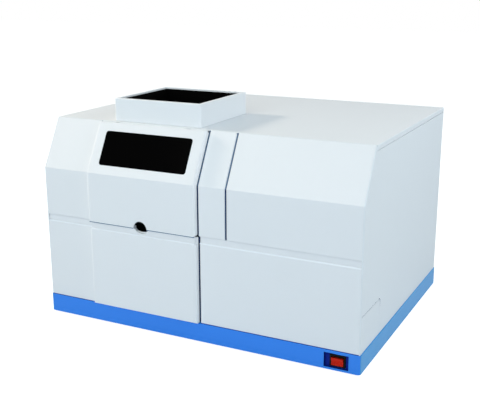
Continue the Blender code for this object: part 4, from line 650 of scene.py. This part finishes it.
def makeBurner(look):
    low, high, centre = boxOf("burner_head")
    headLow, half, fin, lip = low.z + look["collarRise"], look["slotHalf"], look["finHeight"], look["finLip"]

    def sideAt(rise):
        return look["baseHalf"] + (look["topHalf"] - look["baseHalf"]) * (rise - headLow) / (high.z - headLow)

    right = [(sideAt(headLow), headLow)]
    for i in range(look["fins"]):
        rise = headLow + look["finFrom"] + i * look["finPitch"]
        right += [(sideAt(rise), rise), (sideAt(rise) - look["finDepth"], rise + lip),
            (sideAt(rise + fin) - look["finDepth"], rise + fin - lip), (sideAt(rise + fin), rise + fin)]
    right += [(look["topHalf"] - look["topEase"], high.z), (half, high.z - look["slotEase"]),
        (half, high.z - look["slotDepth"])]
    outline = [(centre.y + y, z) for y, z in right] + [(centre.y - y, z) for y, z in reversed(right)]
    jaws, collar, screws = bmesh.new(), bmesh.new(), bmesh.new()
    addPrism(jaws, outline, low.x, high.x, "X", look["edge"])
    newPiece("burnerJaws", jaws, "heatedTitanium", "burner_turn", "burner_head")
    addLathe(collar, look["collar"], (centre.x, centre.y, low.z), "Z", 48, True)
    for x, y in around(look["knurls"], look["knurlCircle"]):
        addRod(collar, (centre.x + x, centre.y + y, low.z + look["knurlRise"]), *look["knurl"])
    newPiece("burnerCollar", collar, "castAluminium", "burner_turn")
    for x, side in ((low.x, -1), (high.x, 1)):
        ys = (centre.y - look["screwSide"], centre.y + look["screwSide"])
        head = [(radius, side * height) for radius, height in look["screw"]]
        addScrews(screws, grid((x,), ys, (headLow + look["screwRise"],)), head, "X", 18)
    newPiece("burnerScrews", screws, "brushedSteel", "burner_turn")


# Spray chamber: cap screws, bands, a knurled nebulizer and the trap's cap
sprayLook = dict(screw=(0.0026, 0.0022), screwCircle=0.024, band=((0.0255, -0.0008), (0.0266, 0.0008)),
    bandsAt=(0.030, 0.052, 0.104), knurls=30, knurl=(0.0065, 0.00045, "Y", 6), knurlBack=0.0085,
    nut=[(0.0030, 0), (0.0052, 0.0006), (0.0052, 0.0022), (0.0030, 0.0028)], nutFrom=0.0125,
    teeth=36, tooth=(0.009, 0.0007, "Z", 6), capRise=0.040, ringIn=0.001, ringOut=0.0007,
    ringHeight=0.0012, ringDrop=0.0014)


def makeSprayDetail(look):
    low, high, centre = boxOf("spray_chamber")
    level = low.z + (high.x - low.x) / 2
    screws, bands, knurl, trap = (bmesh.new() for _ in range(4))
    places = [(centre.x + x, low.y, level + z) for x, z in around(4, look["screwCircle"], 45)]
    addScrews(screws, places, socketHead(*look["screw"]), "-Y")
    newPiece("chamberCapScrews", screws, "brushedSteel", "burner_lift")
    for y in look["bandsAt"]:
        addLathe(bands, rectangle(*look["band"]), (centre.x, low.y + y, level), "Y", 48, True)
    newPiece("chamberBands", bands, "greyPolymer", "burner_lift")
    sprayLow, sprayHigh, _ = boxOf("nebulizer")
    for x, z in around(look["knurls"], (sprayHigh.x - sprayLow.x) / 2):
        addRod(knurl, (centre.x + x, sprayHigh.y - look["knurlBack"], level + z), *look["knurl"])
    addLathe(knurl, look["nut"], (centre.x, sprayLow.y + look["nutFrom"], level), "Y", 6, True)
    newPiece("nebulizerKnurl", knurl, "brushedSteel", "burner_lift")
    low, high, centre = boxOf("drain_trap")
    radius, capLow = (high.x - low.x) / 2, low.z + look["capRise"]
    for x, y in around(look["teeth"], radius):
        addRod(trap, (centre.x + x, centre.y + y, capLow), *look["tooth"])
    section = rectangle((radius - look["ringIn"], 0), (radius + look["ringOut"], look["ringHeight"]))
    addLathe(trap, section, (centre.x, centre.y, capLow - look["ringDrop"]), "Z", 48, True)
    newPiece("trapCapGrip", trap, "greyPolymer", "burner_lift")


# Height screw: a thread of four starts, a scalloped wheel, and the scale on its post
screwLook = dict(core=0.0035, edge=0.0004, lead=0.008, starts=4, ridge=0.00042, threadFrom=0.004,
    threadTo=0.010, wheelRadius=0.015, wheelHeight=0.012, wheelRise=0.0187, wheelEdge=0.0006,
    scallops=24, scallopDepth=0.0007, hub=(0.004, 0.0075, "Z", 28, 0.0005), hubSink=0.0002)
scaleLook = dict(plate=0.014, inset=0.002, start=0.045, marks=31, pitch=0.002, long=0.007,
    short=0.004, every=5, mark=((0, -0.00012, -0.0002), (0, 0.0001, 0.0002), 0.0))


def makeHeightScrew(look):
    low, high, centre = boxOf("height_screw")
    shaft, wheelLow = bmesh.new(), low.z + look["wheelRise"]
    wheelHigh = wheelLow + look["wheelHeight"]
    addRod(shaft, (centre.x, centre.y, low.z), high.z - low.z, look["core"], "Z", 28, look["edge"])
    for start in range(look["starts"]):
        path = helixPath(centre, look["core"], look["lead"], wheelHigh + look["threadFrom"],
            high.z - look["threadTo"], math.tau * start / look["starts"])
        addTube(shaft, path, look["ridge"], 5)
    wheel, points = [], look["scallops"] * 4
    for i, (x, y) in enumerate(around(points, 1.0)):
        wave = (1 - math.cos(math.tau * i / points * look["scallops"])) / 2
        radius = look["wheelRadius"] - look["scallopDepth"] * wave
        wheel.append((centre.x + radius * x, centre.y + radius * y))
    addPrism(shaft, wheel, wheelLow, wheelHigh, "Z", look["wheelEdge"])
    addRod(shaft, (centre.x, centre.y, wheelHigh - look["hubSink"]), *look["hub"])
    newPiece("heightScrew", shaft, "turnedBrass", "height_screw", "height_screw")


def makeHeightScale(look):
    low, high, _ = boxOf("burner_post")
    marks, face, start = bmesh.new(), high.y - look["plate"], low.x + look["inset"]
    for i in range(look["marks"]):
        rise = low.z + look["start"] + i * look["pitch"]
        length = look["long"] if i % look["every"] == 0 else look["short"]
        addFitted(marks, look["mark"], (start, face, rise), (start + length, face, rise))
    newPiece("heightScale", marks, "footRubber")


# Lift carriage and igniter: socket screws, a ceramic sleeve and a glow coil
liftLook = dict(screw=(0.0032, 0.0024), inset=0.008, plateWidth=0.0568, plateBack=0.0324)
igniterLook = dict(sleeve=(0.022, 0.0032, "Y", 24, 0.0006), sleeveSide=0.006, sleeveBack=0.052,
    coilRadius=0.0026, coilFrom=0.001, coilFront=0.0018, wire=0.00045, turns=7, pitch=0.0015)


def makeLiftScrews(look):
    low, high, _ = boxOf("burner_carriage")
    inset, screws, face = look["inset"], bmesh.new(), boxOf("burner_post")[1].y - look["plateBack"]
    places = grid((low.x + inset, low.x + look["plateWidth"] - inset), (face,), (low.z + inset, high.z - inset))
    addScrews(screws, places, socketHead(*look["screw"]), "-Y")
    newPiece("carriageScrews", screws, "brushedSteel", "burner_lift")


def makeIgniter(look):
    low, high, centre = boxOf("igniter")
    sleeve, coil, start = bmesh.new(), bmesh.new(), look["coilFrom"]
    addRod(sleeve, (low.x + look["sleeveSide"], high.y - look["sleeveBack"], centre.z), *look["sleeve"])
    newPiece("igniterSleeve", sleeve, "whiteCeramic")
    helix = helixPath((0, 0), look["coilRadius"], look["pitch"], start, start + look["turns"] * look["pitch"])
    path = [(high.x - along, low.y + look["coilFront"] + x, centre.z + y) for x, y, along in helix]
    addTube(coil, path, look["wire"], 6)
    newPiece("igniterCoil", coil, "heatedTitanium")


makeBurner(burnerLook)
makeSprayDetail(sprayLook)
makeHeightScrew(screwLook)
makeHeightScale(scaleLook)
makeLiftScrews(liftLook)
makeIgniter(igniterLook)
print("burner bay detailed")


# Lamps: a glass envelope on a moulded base, with a cathode, a mica disc, rods and pins inside
lampLook = dict(bulbFoot=[(0.015, 0.032), (0.016, 0.036), (0.019, 0.048)],
    bulbTop=[(0.019, 0.003), (0.016, 0), (0, 0), (0, 0.0018), (0.015, 0.0018), (0.0181, 0.005)],  # from its top
    bulbInside=[(0.0181, 0.048), (0.0151, 0.036), (0.014, 0.032)],
    base=[(0, 0.006), (0.015, 0.006), (0.016, 0.007), (0.016, 0.030), (0.014, 0.031), (0, 0.031)],
    cathode=[(0.0055, 0), (0.0085, 0), (0.0085, 0.028), (0.0075, 0.029), (0.0055, 0.028)], cathodeRise=0.070,
    disc=((0, -0.001), (0.0165, 0)), rod=(0.046, 0.0007, "Z", 8), rodSide=0.011, rodRise=0.030,
    pins=8, pinCircle=0.0085, pin=(0.008, 0.0009, "Z", 8))


def makeLamp(index, look):
    node = "lamp_" + str(index)
    low, high, centre = boxOf(node)
    foot, height, rise = Vector((centre.x, centre.y, low.z)), high.z - low.z, look["cathodeRise"]
    bulb, base, inside = bmesh.new(), bmesh.new(), bmesh.new()
    crown = [(radius, height - drop) for radius, drop in look["bulbTop"]]
    addLathe(bulb, look["bulbFoot"] + crown + look["bulbInside"], foot, "Z", 40, True)
    newPiece("lampBulb" + str(index), bulb, "lampGlass", "lamp_turret", node)
    addLathe(base, look["base"], foot, "Z", 36)
    newPiece("lampBase" + str(index), base, "blackPlastic", "lamp_turret")
    addLathe(inside, look["cathode"], foot + Vector((0, 0, rise)), "Z", 28, True)
    addLathe(inside, rectangle(*look["disc"]), foot + Vector((0, 0, rise)), "Z", 28)
    for side in (-look["rodSide"], look["rodSide"]):
        addRod(inside, foot + Vector((side, 0, look["rodRise"])), *look["rod"])
    for x, y in around(look["pins"], look["pinCircle"]):
        addRod(inside, foot + Vector((x, y, 0)), *look["pin"])
    newPiece("lampElectrodes" + str(index), inside, "brushedSteel", "lamp_turret")


# Turret: clamp screws round its upper disc, and the motor's tie bolts and side plate
turretLook = dict(screw=(0.0024, 0.0018), circle=0.046, bolt=(0.0025, 0.0015), boltInset=0.0055,
    motorTop=0.0363, plate=((-0.0004, 0.006, 0.010), (0.001, -0.006, 0.026), 0.0003))


def makeTurretDetail(look):
    low, high, centre = boxOf("lamp_turret")
    screws, bolts, inset = bmesh.new(), bmesh.new(), look["boltInset"]
    places = [(centre.x + x, centre.y + y, high.z) for x, y in around(4, look["circle"], 45) + [(0, 0)]]
    addScrews(screws, places, socketHead(*look["screw"]))
    newPiece("turretScrews", screws, "brushedSteel", "lamp_turret")
    low, high, _ = boxOf("turret_motor")
    places = grid((low.x + inset, high.x - inset), (low.y + inset, high.y - inset), (low.z + look["motorTop"],))
    addScrews(bolts, places, socketHead(*look["bolt"]))
    addFitted(bolts, look["plate"], low, (low.x, high.y, low.z))
    newPiece("turretMotorBolts", bolts, "brushedSteel")


# Lenses in the tubes on both sides of the flame box
lensLook = dict(radius=0.0117, half=0.0011, sag=0.0016, steps=6, fromEnd=0.008,
    ring=((0.0111, 0.0014), (0.0118, 0.0026)))


def makeLens(name, node, side, look):
    low, high, centre = boxOf(node)
    place = ((high.x if side > 0 else low.x) - side * look["fromEnd"], centre.y, centre.z)
    glass, ring, steps = bmesh.new(), bmesh.new(), look["steps"]
    front = [(look["radius"] * math.sin(math.pi / 2 * k / steps), look["half"] + look["sag"] * (1 - (k / steps) ** 2))
        for k in range(steps + 1)]
    addLathe(glass, front + [(radius, -height) for radius, height in reversed(front)], place, "X", 40)
    newPiece(name, glass, "lampGlass")
    addLathe(ring, rectangle(*look["ring"]), place, "X", 40, True)
    newPiece(name + "Ring", ring, "blackAnodised")


# Monochromator: lid screws, the grating's holder, the curved mirror's clips and the detector's ring
monoLook = dict(screw=(0.0030, 0.0016), inset=0.0035, screws=(5, 4),
    frontCheek=((-0.001, -0.0025, 0), (-0.002, -0.0002, 0.001), 0.0004),
    rearCheek=((-0.001, 0.0002, 0), (-0.002, 0.0025, 0.001), 0.0004),
    holderBack=((-0.0025, -0.0025, 0), (-0.0002, 0.0025, 0.001), 0.0004),
    clip=((-0.0012, -0.003, -0.004), (0.001, 0.003, 0.0016), 0.0004), clipInset=0.014,
    ring=((0.0195, 0), (0.0206, 0.004)), ringFrom=0.010, pin=((0, 0), (0.0018, -0.0012)),
    pinCircle=0.0232, pinFrom=0.006)


def makeMonoDetail(look):
    low, high, _ = boxOf("monochromator_lid")
    screws, holder, clips, ring = (bmesh.new() for _ in range(4))
    inset = look["inset"]
    spots = frameSides((low.x + inset, low.y + inset), (high.x - inset, high.y - inset), look["screws"])
    addScrews(screws, [(x, y, high.z) for x, y in spots], socketHead(*look["screw"]), "Z", 16)
    newPiece("lidScrews", screws, "brushedSteel")
    low, high, _ = boxOf("grating")
    addFitted(holder, look["frontCheek"], low, (high.x, low.y, high.z))
    addFitted(holder, look["rearCheek"], (low.x, high.y, low.z), high)
    addFitted(holder, look["holderBack"], low, (low.x, high.y, high.z))
    newPiece("gratingHolder", holder, "blackAnodised", "grating_table")
    low, high, _ = boxOf("ebert_mirror")
    for y in (low.y + look["clipInset"], high.y - look["clipInset"]):
        addFitted(clips, look["clip"], (low.x, y, high.z), (high.x, y, high.z))
    newPiece("mirrorClips", clips, "brushedSteel")
    low, high, centre = boxOf("detector_housing")
    addLathe(ring, rectangle(*look["ring"]), (low.x + look["ringFrom"], centre.y, centre.z), "X", 40, True)
    pins = around(4, look["pinCircle"], 45)
    places = [(high.x - look["pinFrom"], centre.y + y, centre.z + z) for y, z in pins]
    addScrews(ring, places, rectangle(*look["pin"]), "X", 14)
    newPiece("detectorRing", ring, "brushedSteel")


for index in range(1, 5):
    makeLamp(index, lampLook)
makeTurretDetail(turretLook)
makeLens("lampLens", "lamp_lens_tube", -1, lensLook)
makeLens("slitLens", "slit_lens_tube", 1, lensLook)
makeMonoDetail(monoLook)
print("optics detailed")


# Control board: capacitors, chips with their legs, a connector and mounting screws
boardLook = dict(face=0.0136, screw=(0.0032, 0.0018), inset=0.010, cans=5, canPitch=0.024,
    canFrom=(0.018, 0.030, -0.0002), can=(0.011, 0.004, "Z", 24, 0.0006),
    chips=3, chip=((-0.0001, -0.0101, 0.0002), (0.0401, 0.0101, 0.0031), 0.0004),
    legs=10, legFrom=0.0038, legPitch=0.0036, legPair=(
        ((-0.0005, -0.0118, -0.0001), (0.0005, -0.0100, 0.0014), 0.0),
        ((-0.0005, 0.0100, -0.0001), (0.0005, 0.0118, 0.0014), 0.0)),
    plug=((-0.020, 0.045, -0.0001), (-0.010, 0.125, 0.009), 0.0004))


def makeBoardDetail(look):
    low, high, _ = boxOf("control_board")
    cans, legs, chips, plug = (bmesh.new() for _ in range(4))
    face, inset, start = low.z + look["face"], look["inset"], low.x + (high.x - low.x) / 3
    first = Vector((low.x, low.y, face)) + Vector(look["canFrom"])
    for i in range(look["cans"]):
        addRod(cans, first + Vector((0, i * look["canPitch"], 0)), *look["can"])
    newPiece("boardCapacitors", cans, "blackAnodised")
    for y in spaced(low.y, high.y, look["chips"] + 2)[1:-1]:
        addFitted(chips, look["chip"], (start, y, face))
        for i in range(look["legs"]):
            spot = (start + look["legFrom"] + i * look["legPitch"], y, face)
            for leg in look["legPair"]:
                addFitted(legs, leg, spot)
    newPiece("boardChips", chips, "blackPlastic")
    places = grid((low.x + inset, high.x - inset), (low.y + inset, high.y - inset), (face,))
    addScrews(legs, places, socketHead(*look["screw"]), "Z", 16)
    newPiece("boardLegs", legs, "brushedSteel")
    addFitted(plug, look["plug"], (high.x, low.y, face))
    newPiece("boardConnector", plug, "whiteMoulding")


# Power supply: a terminal block and cover screws
supplyLook = dict(terminals=6, pitch=0.009, block=((0.030, 0, 0.012), (0.034, 0.010, 0.026), 0.0006),
    screw=(0.0026, 0.0012), screwFrom=(0.0365, 0.005, 0.026), inset=0.006)


def makeSupplyDetail(look):
    low, high, _ = boxOf("power_supply")
    block, screws, inset, foot = bmesh.new(), bmesh.new(), look["inset"], Vector((low.x, high.y, low.z))
    steps = [Vector((i * look["pitch"], 0, 0)) for i in range(look["terminals"] + 1)]
    addFitted(block, look["block"], foot, foot + steps[-1])
    newPiece("supplyTerminals", block, "blackPlastic")
    places = [foot + Vector(look["screwFrom"]) + step for step in steps[:-1]]
    places += grid((low.x + inset, high.x - inset), (low.y + inset, high.y - inset), (high.z,))
    addScrews(screws, places, socketHead(*look["screw"]), "Z", 14)
    newPiece("supplyScrews", screws, "brushedSteel")


# Gas block: coils round the valves, with plug blocks and caps
gasLook = dict(foot=0.046, coilFrom=0.005, cap=(0.0016, 0.006, "Z", 6, 0.0003), capFrom=0.0298,
    coil=[(0.0108, 0), (0.0125, 0), (0.0135, 0.001), (0.0135, 0.016), (0.0125, 0.017), (0.0108, 0.017)],
    plug=((-0.006, -0.0195, 0.008), (0.006, -0.0115, 0.018), 0.0006))


def makeGasDetail(look):
    low, _, centre = boxOf("gas_block")
    coils, caps = bmesh.new(), bmesh.new()
    for node in ("acetylene_inlet", "air_inlet"):
        x, foot = boxOf(node)[2].x, low.z + look["foot"]
        addLathe(coils, look["coil"], (x, centre.y, foot + look["coilFrom"]), "Z", 36, True)
        addFitted(coils, look["plug"], (x, centre.y, foot))
        addRod(caps, (x, centre.y, foot + look["capFrom"]), *look["cap"])
    newPiece("valveCoils", coils, "blackPlastic")
    newPiece("valveCaps", caps, "brushedSteel")


makeBoardDetail(boardLook)
makeSupplyDetail(supplyLook)
makeGasDetail(gasLook)
print("electronics and gas detailed")


# Gas inlets: a hexagon nut and a threaded end with its bore
inletLook = dict(radius=0.0065, hex=(0.004, 0.0085, "Y", 6, 0.0004), hexGap=0.0003, threadFrom=0.0044,
    threads=5, threadDepth=0.0006, ease=0.001, bore=0.0022, boreDepth=0.008)


def makeGasInlet(name, node, look):
    low, high, centre = boxOf(node)
    body, face, radius = bmesh.new(), boxOf("rear_panel")[1].y, look["radius"]
    root, foot, tip, start = radius - look["threadDepth"], low.y - face, high.y - face, look["threadFrom"]
    step = (tip - start - look["ease"]) / look["threads"]
    profile = [(0, foot), (radius, foot), (radius, start)]
    for i in range(look["threads"]):
        for reach, share in ((root, 0.25), (root, 0.5), (radius, 0.75), (radius, 1)):
            profile.append((reach, start + (i + share) * step))
    bottom = tip - look["boreDepth"]
    profile += [(radius - look["ease"], tip), (look["bore"], tip), (look["bore"], bottom), (0, bottom)]
    addLathe(body, profile, (centre.x, face, centre.z), "Y", 36)
    addRod(body, (centre.x, face + look["hexGap"], centre.z), *look["hex"])
    newPiece(name, body, "turnedBrass", "case", node)


# Mains inlet pins and screws, the data port's insert and contacts
portLook = dict(pin=((-0.00115, -0.0165, -0.0022), (0.00115, -0.0035, 0.0022), 0.0004),
    pinPlaces=((-0.007, -0.0016), (0, 0.002), (0.007, -0.0016)),
    screw=[(0, 0), (0.0026, 0), (0.00182, 0.0009), (0, 0.0011)], screwInset=0.0045,
    screwSink=0.0001, insert=((-0.011, -0.0055, -0.0022), (0.011, -0.0020, 0.0022), 0.0005),
    contact=((-0.0006, -0.0052, -0.0002), (0.0006, -0.0022, 0.0002), 0.0), contacts=5,
    contactPitch=0.0042, contactRise=0.0023)


def makePortDetail(look):
    low, high, centre = boxOf("power_inlet")
    pins, insert, contacts = bmesh.new(), bmesh.new(), bmesh.new()
    for x, z in look["pinPlaces"]:
        addFitted(pins, look["pin"], (centre.x + x, high.y, centre.z + z))
    sides = (low.x + look["screwInset"], high.x - look["screwInset"])
    addScrews(pins, grid(sides, (high.y - look["screwSink"],), (centre.z,)), look["screw"], "Y", 24)
    newPiece("inletPins", pins, "brushedSteel")
    low, high, centre = boxOf("data_port")
    addFitted(insert, look["insert"], (centre.x, high.y, centre.z))
    newPiece("dataInsert", insert, "blackPlastic")
    for i in range(look["contacts"]):
        x = centre.x + (i - (look["contacts"] - 1) / 2) * look["contactPitch"]
        for z in (centre.z - look["contactRise"], centre.z + look["contactRise"]):
            addFitted(contacts, look["contact"], (x, high.y, z))
    newPiece("dataContacts", contacts, "turnedBrass")


# Rear panel: pan head screws round its edge and at the fan's corners
rearLook = dict(screw=(0.0036, 0.0016), inset=0.010, screws=(5, 4), fanReach=0.025)


def makeRearDetail(look):
    low, high, _ = boxOf("rear_panel")
    fan, inset, reach, screws = boxOf("fan_frame")[2], look["inset"], look["fanReach"], bmesh.new()
    spots = frameSides((low.x + inset, low.z + inset), (high.x - inset, high.z - inset), look["screws"])
    spots += [(fan.x + x, fan.z + z) for x in (-reach, reach) for z in (-reach, reach)]
    addScrews(screws, [(x, high.y, z) for x, z in spots], panHead(*look["screw"]), "Y", 24)
    newPiece("rearScrews", screws, "brushedSteel")


makeGasInlet("acetyleneFitting", "acetylene_inlet", inletLook)
makeGasInlet("airFitting", "air_inlet", inletLook)
makePortDetail(portLook)
makeRearDetail(rearLook)
print("rear detailed")
